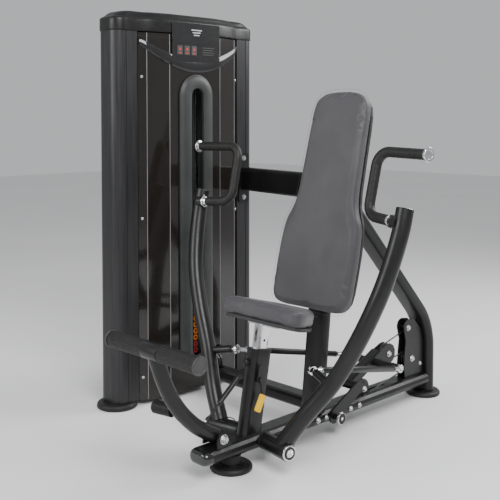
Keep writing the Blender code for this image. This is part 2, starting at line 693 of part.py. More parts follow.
def cap_outline(grow):
    """Plan of the top cap: the columns' outer corners and the panel's facets, grown outwards."""
    front = [(x + grow, y) for x, y in panel_line()]
    outer = COLUMN_OUTER_Y - grow
    radius = 0.048 + grow
    face, back = COLUMN_FACE_X + grow, COLUMN_BACK_X - grow
    points = list(reversed(front))
    points += arc(face - radius, outer + radius, radius, 0, -90, 5)
    points += arc(back + radius, outer + radius, radius, -90, -180, 5)
    points += arc(back + radius, 2 * TOWER_MID_Y - outer - radius, radius, 180, 90, 5)
    points += arc(face - radius, 2 * TOWER_MID_Y - outer - radius, radius, 90, 0, 5)
    return points


def build_top_cap():
    mesh_data = bmesh.new()
    centre = Vector(((COLUMN_FACE_X + COLUMN_BACK_X) / 2, TOWER_MID_Y))
    rings = []
    for grow, z, shrink in ((0.003, COLUMN_TOP + GAP, 1.0), (0.004, CAP_TOP - 0.010, 1.0),
                            (0.000, CAP_TOP, 1.0), (-0.010, CROWN_TOP - 0.006, 0.93),
                            (-0.016, CROWN_TOP, 0.86)):
        ring = []
        for x, y in cap_outline(grow):
            spot = centre + (Vector((x, y)) - centre) * shrink
            ring.append(mesh_data.verts.new((spot.x, spot.y, z)))
        rings.append(ring)
    for low, high in zip(rings, rings[1:]):
        for j in range(len(low)):
            k = (j + 1) % len(low)
            mesh_data.faces.new((low[j], low[k], high[k], high[j]))
    mesh_data.faces.new(rings[0])
    mesh_data.faces.new(rings[-1])
    make_object("top_cap", mesh_data, "black_plastic")


def build_sign_panel():
    """Sign across the tower's head: a flat badge and, under it, a drooping band."""
    mesh_data = bmesh.new()
    outline = [(TOWER_MID_Y + u, 1.597 + v) for u, v in rounded_rectangle(0.272, 0.084, 0.004, 2)]
    side_plate(mesh_data, outline, -0.7055, 0.004)
    sign = make_object("sign_panel", mesh_data, "black_plastic")
    reaches = (-0.280, -0.252, -0.215, -0.180, -0.145, -0.110, -0.075, -0.038)
    upper, lower = [], []
    for reach in reaches + (0.0,) + tuple(-r for r in reversed(reaches)):
        droop = 1 - (reach / reaches[0]) ** 2
        x, y = panel_face_x(reach) + 0.001, TOWER_MID_Y + reach
        upper.append((x, y, 1.560 - 0.080 * droop))
        lower.append((x, y, 1.534 - 0.108 * droop))
    mesh_data = bmesh.new()
    rings = []
    for low, high in zip(lower, upper):
        rings.append([mesh_data.verts.new(p) for p in (
            low, (low[0] + 0.004, low[1], low[2]), (high[0] + 0.004, high[1], high[2]), high)])
    for first, second in zip(rings, rings[1:]):
        for j in range(4):
            k = (j + 1) % 4
            mesh_data.faces.new((first[j], first[k], second[k], second[j]))
    mesh_data.faces.new(rings[0])
    mesh_data.faces.new(rings[-1])
    weld(sign, "band", mesh_data)
    mesh_data = bmesh.new()
    side_plate(mesh_data, [(TOWER_MID_Y - 0.135, 1.470), (TOWER_MID_Y + 0.135, 1.470),
                           (TOWER_MID_Y + 0.135, 1.570), (TOWER_MID_Y - 0.135, 1.570)], -0.7082, 0.0040)
    weld(sign, "field", mesh_data)


def plate_stack(mesh_data, first, last):
    """Flat weight plates on one core, with a shallow groove between each pair."""
    centre = Vector((STACK_X, TOWER_MID_Y, 0))
    rings = []
    for i in range(first, last):
        z = STACK_BOTTOM + i * PLATE_PITCH
        levels = [(z, 0.0), (z + PLATE_SIZE.z - 0.003, 0.0)]
        if i < last - 1:
            levels += [(z + PLATE_SIZE.z - 0.0025, 0.004), (z + PLATE_PITCH - 0.0005, 0.004)]
        for height, inset in levels:
            u, v = PLATE_SIZE.x / 2 - inset, PLATE_SIZE.y / 2 - inset
            rings.append([mesh_data.verts.new(centre + Vector((su * u, sv * v, height)))
                          for su, sv in ((1, -1), (1, 1), (-1, 1), (-1, -1))])
    for low, high in zip(rings, rings[1:]):
        for j in range(4):
            k = (j + 1) % 4
            mesh_data.faces.new((low[j], low[k], high[k], high[j]))
    mesh_data.faces.new(rings[0])
    mesh_data.faces.new(rings[-1])


def build_stack():
    for name, spot in zip(("guide_rod_front", "guide_rod_rear"), rod_feet()):
        mesh_data = bmesh.new()
        rod(mesh_data, spot + Vector((0, 0, 0.0605)), spot + Vector((0, 0, 1.405)), 0.0095, 14)
        make_object(name, mesh_data, "chrome")
    groups = (("resting_weight_plates", 0, RESTING_PLATES, 0.0155),
              ("lifted_weight_plates", RESTING_PLATES, RESTING_PLATES + LIFTED_PLATES, 0.0108))
    for name, first, last, bore in groups:
        mesh_data = bmesh.new()
        plate_stack(mesh_data, first, last)
        plates = make_object(name, mesh_data, "cast_iron")
        mesh_data = bmesh.new()
        for spot in rod_feet():
            rod(mesh_data, spot + Vector((0, 0, 0.12)), spot + Vector((0, 0, 0.62)), 0.0120, 12)
        centre = Vector((STACK_X, TOWER_MID_Y, 0))
        rod(mesh_data, centre + Vector((0, 0, 0.12)), centre + Vector((0, 0, 0.62)), bore, 12)
        cut(plates, "bores", mesh_data)
    build_selector()


PIN_Z = STACK_BOTTOM + RESTING_PLATES * PLATE_PITCH + PLATE_SIZE.z / 2
HEAD_BOTTOM = STACK_BOTTOM + (RESTING_PLATES + LIFTED_PLATES) * PLATE_PITCH


def build_selector():
    plates = bpy.data.objects["lifted_weight_plates"]
    mesh_data = bmesh.new()
    rod(mesh_data, (STACK_X, TOWER_MID_Y, PIN_Z), (STACK_X + 0.070, TOWER_MID_Y, PIN_Z), 0.0058, 12)
    cut(plates, "pin_hole", mesh_data)
    mesh_data = bmesh.new()
    turned(mesh_data, [(0.0, 0.0), (0.005, 0.0), (0.005, 0.0330), (0.0135, 0.0332), (0.0150, 0.038),
                       (0.0150, 0.058), (0.0120, 0.062), (0.0, 0.062)],
           (STACK_X + 0.018, TOWER_MID_Y, PIN_Z), (1, 0, 0), 16)
    make_object("selector_pin", mesh_data, "rubber")
    mesh_data = bmesh.new()
    half_x, half_y = 0.030, 0.125
    block(mesh_data, (STACK_X - half_x, TOWER_MID_Y - half_y, HEAD_BOTTOM + GAP),
          (STACK_X + half_x, TOWER_MID_Y + half_y, HEAD_BOTTOM + 0.032))
    head = make_object("stack_head", mesh_data, "powder_coat")
    mesh_data = bmesh.new()
    foot, collar_z, tip = STACK_BOTTOM + 0.004, HEAD_BOTTOM + 0.030, HEAD_BOTTOM + 0.062
    turned(mesh_data, [(0.0, foot), (0.0098, foot), (0.0098, collar_z), (0.012, collar_z + 0.001),
                       (0.012, tip - 0.007), (0.006, tip), (0.0, tip)],
           (STACK_X, TOWER_MID_Y, 0), (0, 0, 1), 14)
    weld(head, "selector_rod", mesh_data)
    mesh_data = bmesh.new()
    for spot in rod_feet():
        rod(mesh_data, spot + Vector((0, 0, HEAD_BOTTOM - 0.02)), spot + Vector((0, 0, HEAD_BOTTOM + 0.06)),
            0.0112, 12)
    cut(head, "bores", mesh_data)


# ---- pulleys and cables ----
def pulley(name, centre, axis, cable_radius, bore=0.0075, half_width=0.0105, steps=24):
    groove = cable_radius - CABLE_RADIUS - GROOVE_PLAY
    rim = cable_radius + 0.0020
    mesh_data = bmesh.new()
    profile = [(bore, -half_width), (rim, -half_width), (rim, -0.0050), (groove, -0.0020),
               (groove, 0.0020), (rim, 0.0050), (rim, half_width), (bore, half_width)]
    turned(mesh_data, profile, centre, axis, steps, ring=True)
    make_object(name, mesh_data, "black_plastic")


ROCKER_CABLE_RADIUS = 0.0400
REAR_CABLE_RADIUS = 0.0400
LOW_CABLE_RADIUS = LOW_PULLEY.z - CABLE_Z


def build_pulleys():
    pulley("rocker_pulley", ROCKER_PULLEY, (1, 0, 0), ROCKER_CABLE_RADIUS)
    pulley("rear_pulley", REAR_PULLEY, (1, 0, 0), REAR_CABLE_RADIUS)
    pulley("low_pulley", LOW_PULLEY, (1, 0, 0), LOW_CABLE_RADIUS)
    pulley("top_pulley", TOP_PULLEY, TOP_PULLEY_AXIS, TOP_CABLE_RADIUS)
    pulley("base_pulley", BASE_PULLEY, (0, 1, 0), BASE_PULLEY.z - CABLE_Z)


def belt_route(wheels):
    """Path around wheels given as (centre, radius, turn) in a plane; turn +1 is counter-clockwise."""
    contacts = []
    for (c0, r0, s0), (c1, r1, s1) in zip(wheels, wheels[1:]):
        reach = c1 - c0
        heading = math.atan2(reach.y, reach.x) - math.asin((s1 * r1 - s0 * r0) / reach.length)
        left = Vector((-math.sin(heading), math.cos(heading)))
        contacts.append((c0 - s0 * r0 * left, c1 - s1 * r1 * left))
    route = [wheels[0][0] - Vector((0, wheels[0][1]))]
    arrivals = [route[0]] + [arrive for _, arrive in contacts]
    departures = [leave for leave, _ in contacts]
    for (centre, radius, turn), arrive, leave in zip(wheels, arrivals, departures):
        start = math.atan2(*reversed(arrive - centre))
        sweep_angle = (math.atan2(*reversed(leave - centre)) - start) * turn % (2 * math.pi)
        steps = max(2, int(sweep_angle / 0.35))
        for i in range(steps + 1):
            angle = start + turn * sweep_angle * i / steps
            route.append(centre + radius * Vector((math.cos(angle), math.sin(angle))))
    route.append(arrivals[-1])
    return route[1:]


def build_cables():
    wheels = [(Vector(LOW_PULLEY.yz), LOW_CABLE_RADIUS, 1), (Vector(REAR_PULLEY.yz), REAR_CABLE_RADIUS, 1),
              (Vector(ROCKER_PULLEY.yz), ROCKER_CABLE_RADIUS, -1), (Vector(CABLE_ANCHOR.yz), 0.0120, 1)]
    mesh_data = bmesh.new()
    route = [Vector((0, y, z)) for y, z in belt_route(wheels)]
    route[0] = route[0] + Vector((0, 0.0005, 0))
    sweep(mesh_data, route, circle(CABLE_RADIUS, 8), Vector((1, 0, 0)))
    make_object("press_cable", mesh_data, "cable")
    mesh_data = bmesh.new()
    route = []
    along = Vector((0.6, 0.8, 0))
    for i in range(13):
        angle = math.pi * (1 - i / 12)
        around = math.cos(angle) * along + math.sin(angle) * Vector((0, 0, 1))
        route.append(TOP_PULLEY + TOP_CABLE_RADIUS * around)
    radius = BASE_PULLEY.z - CABLE_Z
    for i in range(7):
        angle = math.pi + math.pi / 2 * i / 6
        route.append(BASE_PULLEY + radius * Vector((math.cos(angle), 0, math.sin(angle))))
    for i in range(7):
        angle = -math.pi / 2 + math.pi / 2 * i / 6
        route.append(Vector((-0.030, CROSS_Y + 0.030, CABLE_Z))
                     + 0.030 * Vector((math.cos(angle), math.sin(angle), 0)))
    route.append(Vector((0, LOW_PULLEY.y - 0.0005, CABLE_Z)))
    tidy = [route[0]]
    for point in route[1:]:
        if (point - tidy[-1]).length > 0.002:
            tidy.append(point)
    sweep_cable(mesh_data, tidy)
    make_object("tower_cable", mesh_data, "cable")
    mesh_data = bmesh.new()
    rod(mesh_data, (STACK_X, TOWER_MID_Y, HEAD_BOTTOM + 0.062 + GAP),
        (STACK_X, TOWER_MID_Y, TOP_PULLEY.z - 0.0005), CABLE_RADIUS, 8)
    make_object("stack_cable", mesh_data, "cable")


def sweep_cable(mesh_data, route):
    """Sweep a round cable with a frame carried from point to point, free of any fixed side."""
    rings = []
    side = (route[1] - route[0]).orthogonal().normalized()
    for i, centre in enumerate(route):
        before, after = route[max(i - 1, 0)], route[min(i + 1, len(route) - 1)]
        along = (after - before).normalized()
        side = (side - side.dot(along) * along).normalized()
        up = along.cross(side)
        rings.append([mesh_data.verts.new(centre + u * side + v * up) for u, v in circle(CABLE_RADIUS, 8)])
    for low, high in zip(rings, rings[1:]):
        for j in range(8):
            k = (j + 1) % 8
            mesh_data.faces.new((low[j], low[k], high[k], high[j]))
    mesh_data.faces.new(rings[0])
    mesh_data.faces.new(rings[-1])


# ---- seat and backrest ----
def back_outline():
    """Half-width of the back cushion along its length, closed by mirroring."""
    half = [(0.110, 0.0), (0.150, 0.005), (0.178, 0.018), (0.194, 0.042), (0.201, 0.080)]
    half += [(0.203, 0.150), (0.203, 0.230), (0.199, 0.300), (0.190, 0.350), (0.174, 0.386)]
    half += [(0.161, 0.424), (0.154, 0.480), (0.151, 0.590), (0.148, 0.735), (0.144, 0.790)]
    half += [(0.134, 0.828), (0.114, 0.852), (0.078, 0.870), (0.034, 0.876)]
    return half + [(-u, v) for u, v in reversed(half)]


def build_backrest():
    up = Vector((0, BACK_SLOPE, 1)).normalized()
    across = Vector((-1, 0, 0))
    normal = across.cross(up)
    front = BACK_BASE - up * 0.030
    mesh_data = bmesh.new()
    pad(mesh_data, back_outline(), PAD_THICKNESS, front, across, up, 0.010)
    make_object("back_cushion", mesh_data, "vinyl")
    mesh_data = bmesh.new()
    board = []
    for u, v in back_outline():
        board.append((u * 0.90, 0.018 + v * 0.957))
    plate(mesh_data, board, front + normal * (PAD_THICKNESS + GAP), across, up, BOARD_THICKNESS)
    make_object("backboard", mesh_data, "board")


def build_seat():
    rearward = Vector((0, math.cos(SEAT_TILT), -math.sin(SEAT_TILT)))
    normal = Vector((0, math.sin(SEAT_TILT), math.cos(SEAT_TILT)))
    base = SEAT_FRONT_TOP - normal * SEAT_THICKNESS
    half = [(0.130, 0.0), (0.172, 0.005), (0.192, 0.020), (0.198, 0.045), (0.188, 0.085)]
    half += [(0.160, 0.140), (0.134, 0.185), (0.114, 0.212), (0.090, 0.232), (0.050, SEAT_LENGTH)]
    outline = half + [(-u, v) for u, v in reversed(half)]
    mesh_data = bmesh.new()
    pad(mesh_data, outline, SEAT_THICKNESS, base, Vector((1, 0, 0)), rearward, 0.010)
    make_object("seat_cushion", mesh_data, "vinyl")
    mesh_data = bmesh.new()
    board = [(u * 0.90, 0.016 + v * 0.89) for u, v in outline]
    plate(mesh_data, board, base - normal * (0.0123), Vector((1, 0, 0)), rearward, 0.012)
    make_object("seat_board", mesh_data, "board")
    build_seat_post(base, rearward, normal)


def build_seat_post(base, rearward, normal):
    lean = Vector((0, math.sin(SEAT_LEAN), math.cos(SEAT_LEAN)))
    top = Vector((0, 0.140, 0.400))
    under = base - normal * (0.0123 + GAP + 0.006)
    mesh_data = bmesh.new()
    route = [top - lean * 0.190, top + lean * 0.060]
    sweep(mesh_data, route, stadium(0.066, 0.038), Vector((0, 1, 0)),
          ends=(None, (under + normal * 0.002, normal)), wall=0.003)
    post = make_object("seat_inner_post", mesh_data, "chrome")
    outline = [(u, 0.112 + v) for u, v in rounded_rectangle(0.160, 0.150, 0.02, 2)]
    mesh_data = bmesh.new()
    plate(mesh_data, outline, under, Vector((1, 0, 0)), rearward, 0.006)
    weld(post, "plate", mesh_data)


def build_release_lever():
    """Seat release: a rod lever on the sleeve's left face with a flat yellow grip."""
    mesh_data = bmesh.new()
    side_plate(mesh_data, strap((0.106, 0.300), 0.014, (0.110, 0.345), 0.009), 0.0356, 0.004)
    lever = make_object("release_lever", mesh_data, "powder_coat")
    mesh_data = bmesh.new()
    rod(mesh_data, (0.0253, 0.106, 0.300), (0.0440, 0.106, 0.300), 0.0090, 14)
    weld(lever, "bolt", mesh_data)
    mesh_data = bmesh.new()
    route = smooth_route([(0.0385, 0.104, 0.298), (0.0440, 0.105, 0.270), (0.0455, 0.106, 0.2525)], 3)
    sweep(mesh_data, route, circle(0.0032, 8), Vector((0, 1, 0)))
    weld(lever, "wire", mesh_data)
    mesh_data = bmesh.new()
    slope = Vector((0, 0.029, 0.052)).normalized()
    plate(mesh_data, rounded_rectangle(0.026, 0.062, 0.006, 3),
          Vector((0.0470, 0.0915, 0.2220)), Vector((0, slope.z, -slope.y)), slope, 0.0080)
    make_object("lever_grip", mesh_data, "yellow_grip")


# ---- press arms ----
ARM_ROUTE = ((0.160, 0.094, 0.104), (0.226, 0.119, 0.203), (0.319, 0.174, 0.340), (0.393, 0.201, 0.475),
             (0.449, 0.227, 0.606), (0.481, 0.256, 0.719), (0.501, 0.290, 0.842), (0.504, 0.314, 0.928))
HANDLE_ROUTE = ((0.4655, 0.2885, 0.8862), (0.3430, 0.3220, 0.8930), (0.3500, 0.3740, 1.1120),
                (0.5740, 0.3490, 1.1070))


def build_press_arm(name, side):
    mesh_data = bmesh.new()
    route = smooth_route([mirrored(p, side) for p in ARM_ROUTE], 3)
    sweep(mesh_data, route, circle(ARM_RADIUS, 16), Vector((0, 1, 0)))
    arm = make_object("press_arm_" + name, mesh_data, "powder_coat")
    axis = arm_axis(side)
    mesh_data = bmesh.new()
    rod(mesh_data, ARM_AXIS_POINT + axis * SLEEVE_START, ARM_AXIS_POINT + axis * SLEEVE_END, ARM_RADIUS, 24)
    weld(arm, "sleeve_" + name, mesh_data)
    mesh_data = bmesh.new()
    rod(mesh_data, mirrored((0.318, 0.168, 0.322), side), mirrored((0.214, 0.203, 0.342), side), 0.0150, 14)
    weld(arm, "link_stub_" + name, mesh_data)
    mesh_data = bmesh.new()
    rod(mesh_data, mirrored((0.230, 0.1985, 0.340), side), mirrored((0.182, 0.212, 0.347), side), 0.0060, 12)
    weld(arm, "link_stud_" + name, mesh_data)
    mesh_data = bmesh.new()
    outward = (Vector(HANDLE_ROUTE[0]) - Vector(HANDLE_ROUTE[1])).normalized()
    start = Vector(HANDLE_ROUTE[0]) + outward * 0.0005
    rod(mesh_data, mirrored(start + outward * 0.036, side), mirrored(start, side), 0.0200, 16)
    weld(arm, "handle_boss_" + name, mesh_data)
    mesh_data = bmesh.new()
    rod(mesh_data, ARM_AXIS_POINT + axis * 0.04, ARM_AXIS_POINT + axis * 0.23, 0.0136, 24)
    cut(arm, "sleeve_bore_" + name, mesh_data)


def build_arm_cap(name, side):
    """Chrome bearing cap with its bolt on the outer end of the pivot sleeve."""
    mesh_data = bmesh.new()
    face = SLEEVE_END + GAP
    turned(mesh_data, [(0.0, face), (0.0275, face), (0.0275, face + 0.006), (0.024, face + 0.009),
                       (0.015, face + 0.009), (0.014, face + 0.016), (0.0, face + 0.016)],
           ARM_AXIS_POINT, arm_axis(side), 24)
    make_object("arm_cap_" + name, mesh_data, "chrome")


def build_handle(name, side):
    points = [mirrored(p, side) for p in HANDLE_ROUTE]
    route = rounded_route(points, 0.050, 7)
    first = (route[1] - route[0]).normalized()
    last = (route[-1] - route[-2]).normalized()
    start, end = route[0], route[-1]
    bar = [start, start + first * 0.011, start + first * 0.0110] + route[1:-1]
    bar += [end - last * back for back in (0.016, 0.0160, 0.010, 0.0098, 0.002, 0.0)]
    grow = GRIP_RADIUS / BAR_RADIUS
    scales = [grow * 0.96, grow * 0.96, 1.0] + [1.0] * (len(route) - 2)
    scales += [1.0, grow * 0.94, grow * 0.94, 2.0, 2.0, 1.86]
    mesh_data = bmesh.new()
    sweep_scaled(mesh_data, bar, scales, BAR_RADIUS, 12, (first, last))
    make_object("handle_bar_" + name, mesh_data, "chrome")
    mesh_data = bmesh.new()
    grip = [start + first * 0.0113] + route[1:-1] + [end - last * 0.0163]
    sweep(mesh_data, grip, circle(GRIP_RADIUS, 12), Vector((0.3, 1, 0.2)).normalized(),
          wall=GRIP_RADIUS - 0.0131)
    make_object("handle_grip_" + name, mesh_data, "rubber")


def sweep_scaled(mesh_data, route, scales, radius, steps, end_headings):
    """Sweep a round bar of varying radius whose side directions match sweep's."""
    rings = []
    side = Vector((0.3, 1, 0.2)).normalized()
    for i, centre in enumerate(route):
        before, after = route[max(i - 1, 0)], route[min(i + 1, len(route) - 1)]
        along = (after - before).normalized()
        if i <= 2:
            along = end_headings[0]
        if i >= len(route) - 6:
            along = end_headings[1]
        across = (side - side.dot(along) * along).normalized()
        up = along.cross(across)
        rings.append([mesh_data.verts.new(centre + scales[i] * (u * across + v * up))
                      for u, v in circle(radius, steps)])
    for low, high in zip(rings, rings[1:]):
        for j in range(steps):
            k = (j + 1) % steps
            mesh_data.faces.new((low[j], low[k], high[k], high[j]))
    mesh_data.faces.new(rings[0])
    mesh_data.faces.new(rings[-1])


def build_tie_rod(name, side):
    """Rod from the arm's stud to the rocker, with an eye at each end and the rear bolt."""
    front, rear = mirrored(LINK_FRONT, side), mirrored(LINK_REAR, side)
    along = (rear - front).normalized()
    stud = (mirrored((0.182, 0.212, 0.347), side) - mirrored((0.230, 0.1985, 0.340), side)).normalized()
    length = (rear - front).length
    mesh_data = bmesh.new()
    turned(mesh_data, [(0.0, 0.004), (0.0085, 0.004), (0.0085, 0.050), (0.0120, 0.0505),
                       (0.0120, length - 0.0505), (0.0085, length - 0.050), (0.0085, length - 0.004),
                       (0.0, length - 0.004)], front, along, 14)
    tie_rod = make_object("tie_rod_" + name, mesh_data, "chrome")
    mesh_data = bmesh.new()
    rod(mesh_data, front - stud * 0.007, front + stud * 0.007, 0.0165, 18)
    weld(tie_rod, "front_eye", mesh_data)
    mesh_data = bmesh.new()
    rod(mesh_data, front - stud * 0.02, front + stud * 0.02, 0.0086, 14)
    cut(tie_rod, "front_bore", mesh_data)
    mesh_data = bmesh.new()
    turned(mesh_data, [(0.0, -0.0110), (0.0060, -0.0110), (0.0060, -0.0062), (0.0165, -0.0061),
                       (0.0165, 0.0060), (0.0105, 0.0061), (0.0105, 0.0125), (0.0, 0.0125)],
           rear, (side, 0, 0), 18)
    weld(tie_rod, "rear_eye", mesh_data)


def build_rocker():
    pivot = (ROCKER_PIVOT.y, ROCKER_PIVOT.z)
    knee = (0.640, 0.160)
    mesh_data = bmesh.new()
    side_plate(mesh_data, strap(pivot, 0.028, knee, 0.024), 0.0535, 0.008)
    rocker = make_object("rocker_arm", mesh_data, "powder_coat")
    mesh_data = bmesh.new()
    rod(mesh_data, (-0.024, *knee), (0.058, *knee), 0.0185, 16)
    weld(rocker, "rocker_knee", mesh_data)
    mesh_data = bmesh.new()
    bar = [Vector((0, *knee)), Vector((0, 0.832, 0.246))]
    sweep(mesh_data, bar, rounded_rectangle(0.046, 0.038, 0.006, 2), Vector((1, 0, 0)))
    weld(rocker, "rocker_bar", mesh_data)
    mesh_data = bmesh.new()
    rod(mesh_data, (-0.1320, LINK_REAR.y, LINK_REAR.z), (0.1320, LINK_REAR.y, LINK_REAR.z), 0.0160, 16)
    weld(rocker, "rocker_crossbar", mesh_data)
    outline = strap((ROCKER_PULLEY.y, ROCKER_PULLEY.z), 0.0440, (0.818, 0.238), 0.016)
    for label, x_low in (("near", 0.0140), ("far", -0.0190)):
        mesh_data = bmesh.new()
        side_plate(mesh_data, outline, x_low, 0.005)
        weld(rocker, "pulley_guard_" + label, mesh_data)
    mesh_data = bmesh.new()
    rod(mesh_data, ROCKER_PULLEY - Vector((0.016, 0, 0)), ROCKER_PULLEY + Vector((0.016, 0, 0)), 0.0060, 14)
    weld(rocker, "rocker_axle", mesh_data)
    mesh_data = bmesh.new()
    rod(mesh_data, (-0.08, *pivot), (0.08, *pivot), 0.0115, 20)
    cut(rocker, "rocker_bore", mesh_data)


# ---- pedal ----
PEDAL_ROUTE = ((0, -0.074, 0.134), (0, -0.155, 0.186), (0, -0.212, 0.238), (0, -0.251, 0.286),
               (0, -0.278, 0.330), (0, -0.306, 0.391), (0, -0.334, 0.467))


def build_pedal():
    mesh_data = bmesh.new()
    route = smooth_route(PEDAL_ROUTE, 2)
    sweep(mesh_data, route, circle(0.026, 14), Vector((1, 0, 0)))
    pedal = make_object("pedal_arm", mesh_data, "powder_coat")
    mesh_data = bmesh.new()
    rod(mesh_data, ROLLER_AXIS - Vector((0.042, 0, 0)), ROLLER_AXIS + Vector((0.042, 0, 0)), 0.0285, 20)
    weld(pedal, "roller_clamp", mesh_data)
    mesh_data = bmesh.new()
    rod(mesh_data, ROLLER_AXIS - Vector((ROLLER_HALF - 0.004, 0, 0)),
        ROLLER_AXIS + Vector((ROLLER_HALF - 0.004, 0, 0)), 0.0150, 16)
    weld(pedal, "roller_bar", mesh_data)
    mesh_data = bmesh.new()
    rod(mesh_data, PEDAL_PIVOT - Vector((0.0330, 0, 0)), PEDAL_PIVOT + Vector((0.0330, 0, 0)), 0.0200, 18)
    weld(pedal, "pedal_hub", mesh_data)
    mesh_data = bmesh.new()
    turned(mesh_data, [(0.0, 0.003), (0.0120, 0.003), (0.0120, 0.040), (0.0230, 0.0402), (0.0230, 0.116),
                       (0.0190, 0.121), (0.0, 0.121)], (0, -0.222, 0.252), (-0.98, -0.20, 0), 16)
    weld(pedal, "stub", mesh_data)
    mesh_data = bmesh.new()
    axle_between(mesh_data, PEDAL_PIVOT, 0.05, 0.0092, 18)
    cut(pedal, "bore", mesh_data)
    for name, side in SIDES:
        mesh_data = bmesh.new()
        turned(mesh_data, [(0.0154, 0.0423), (ROLLER_RADIUS, 0.0423), (ROLLER_RADIUS, ROLLER_HALF - 0.0040),
                           (0.030, ROLLER_HALF - 0.0038), (0.030, ROLLER_HALF + 0.001),
                           (0.0265, ROLLER_HALF + 0.004), (0.0, ROLLER_HALF + 0.004),
                           (0.0, ROLLER_HALF - 0.0037), (0.0154, ROLLER_HALF - 0.0037)],
               ROLLER_AXIS, (side, 0, 0), 20, ring=True)
        make_object("pedal_roller_" + name, mesh_data, "rubber")


def build_strut():
    along = (STRUT_FOOT - STRUT_TOP).normalized()
    length = (STRUT_FOOT - STRUT_TOP).length
    mesh_data = bmesh.new()
    turned(mesh_data, [(0.0, 0.0), (0.0095, 0.002), (0.0095, 0.118), (0.0062, 0.120), (0.0062, 0.020),
                       (0.0, 0.020)], STRUT_TOP, along, 14)
    make_object("strut_cylinder", mesh_data, "powder_coat")
    mesh_data = bmesh.new()
    turned(mesh_data, [(0.0, 0.060), (0.0040, 0.060), (0.0040, length - 0.016), (0.0075, length - 0.015),
                       (0.0075, length - 0.005), (0.0, length - 0.005)], STRUT_TOP, along, 12)
    make_object("strut_rod", mesh_data, "chrome")


def clear_scene():
    for old in list(bpy.data.objects):
        bpy.data.objects.remove(old, do_unlink=True)


def build_all():
    clear_scene()
    for builder in (build_spine, build_front_cap, build_spine_feet, build_backrest_post, build_rear_brace,
                    build_seat_sleeve, build_cross_tube, build_upper_tie_bar, build_forks, build_columns,
                    build_tower_feet, build_tower_beams, build_front_panel, build_slot_frame,
                    build_back_panel, build_top_cap, build_sign_panel, build_stack, build_pulleys,
                    build_cables, build_backrest, build_seat, build_release_lever, build_rocker,
                    build_pedal, build_strut):
        builder()
    for name, side in SIDES:
        build_press_arm(name, side)
        build_arm_cap(name, side)
        build_handle(name, side)
        build_tie_rod(name, side)


build_all()
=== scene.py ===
"""Looks of a seated converging chest press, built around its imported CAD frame.

Metres, in the frame's own axes: +X to the seated user's left, -Y to the front, +Z up.
"""
import math

import bmesh
import bpy
import numpy as np
from mathutils import Matrix, Vector


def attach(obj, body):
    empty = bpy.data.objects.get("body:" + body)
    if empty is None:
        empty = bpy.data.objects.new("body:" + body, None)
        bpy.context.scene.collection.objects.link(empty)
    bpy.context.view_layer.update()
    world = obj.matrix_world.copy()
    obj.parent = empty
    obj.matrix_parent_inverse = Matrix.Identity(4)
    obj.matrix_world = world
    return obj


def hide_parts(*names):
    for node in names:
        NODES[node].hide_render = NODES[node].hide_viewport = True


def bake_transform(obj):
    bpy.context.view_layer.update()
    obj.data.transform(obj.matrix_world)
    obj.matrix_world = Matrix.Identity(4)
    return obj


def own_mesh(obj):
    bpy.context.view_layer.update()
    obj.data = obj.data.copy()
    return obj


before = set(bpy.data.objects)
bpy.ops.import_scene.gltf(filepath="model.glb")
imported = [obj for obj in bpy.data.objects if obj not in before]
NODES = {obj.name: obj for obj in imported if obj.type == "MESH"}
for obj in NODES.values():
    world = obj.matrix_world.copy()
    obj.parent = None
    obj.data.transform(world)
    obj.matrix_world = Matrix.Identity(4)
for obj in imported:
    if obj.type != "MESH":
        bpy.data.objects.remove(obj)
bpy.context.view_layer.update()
X, Y, Z = Vector((1, 0, 0)), Vector((0, 1, 0)), Vector((0, 0, 1))
SIDES = (("right", -1.0), ("left", 1.0))


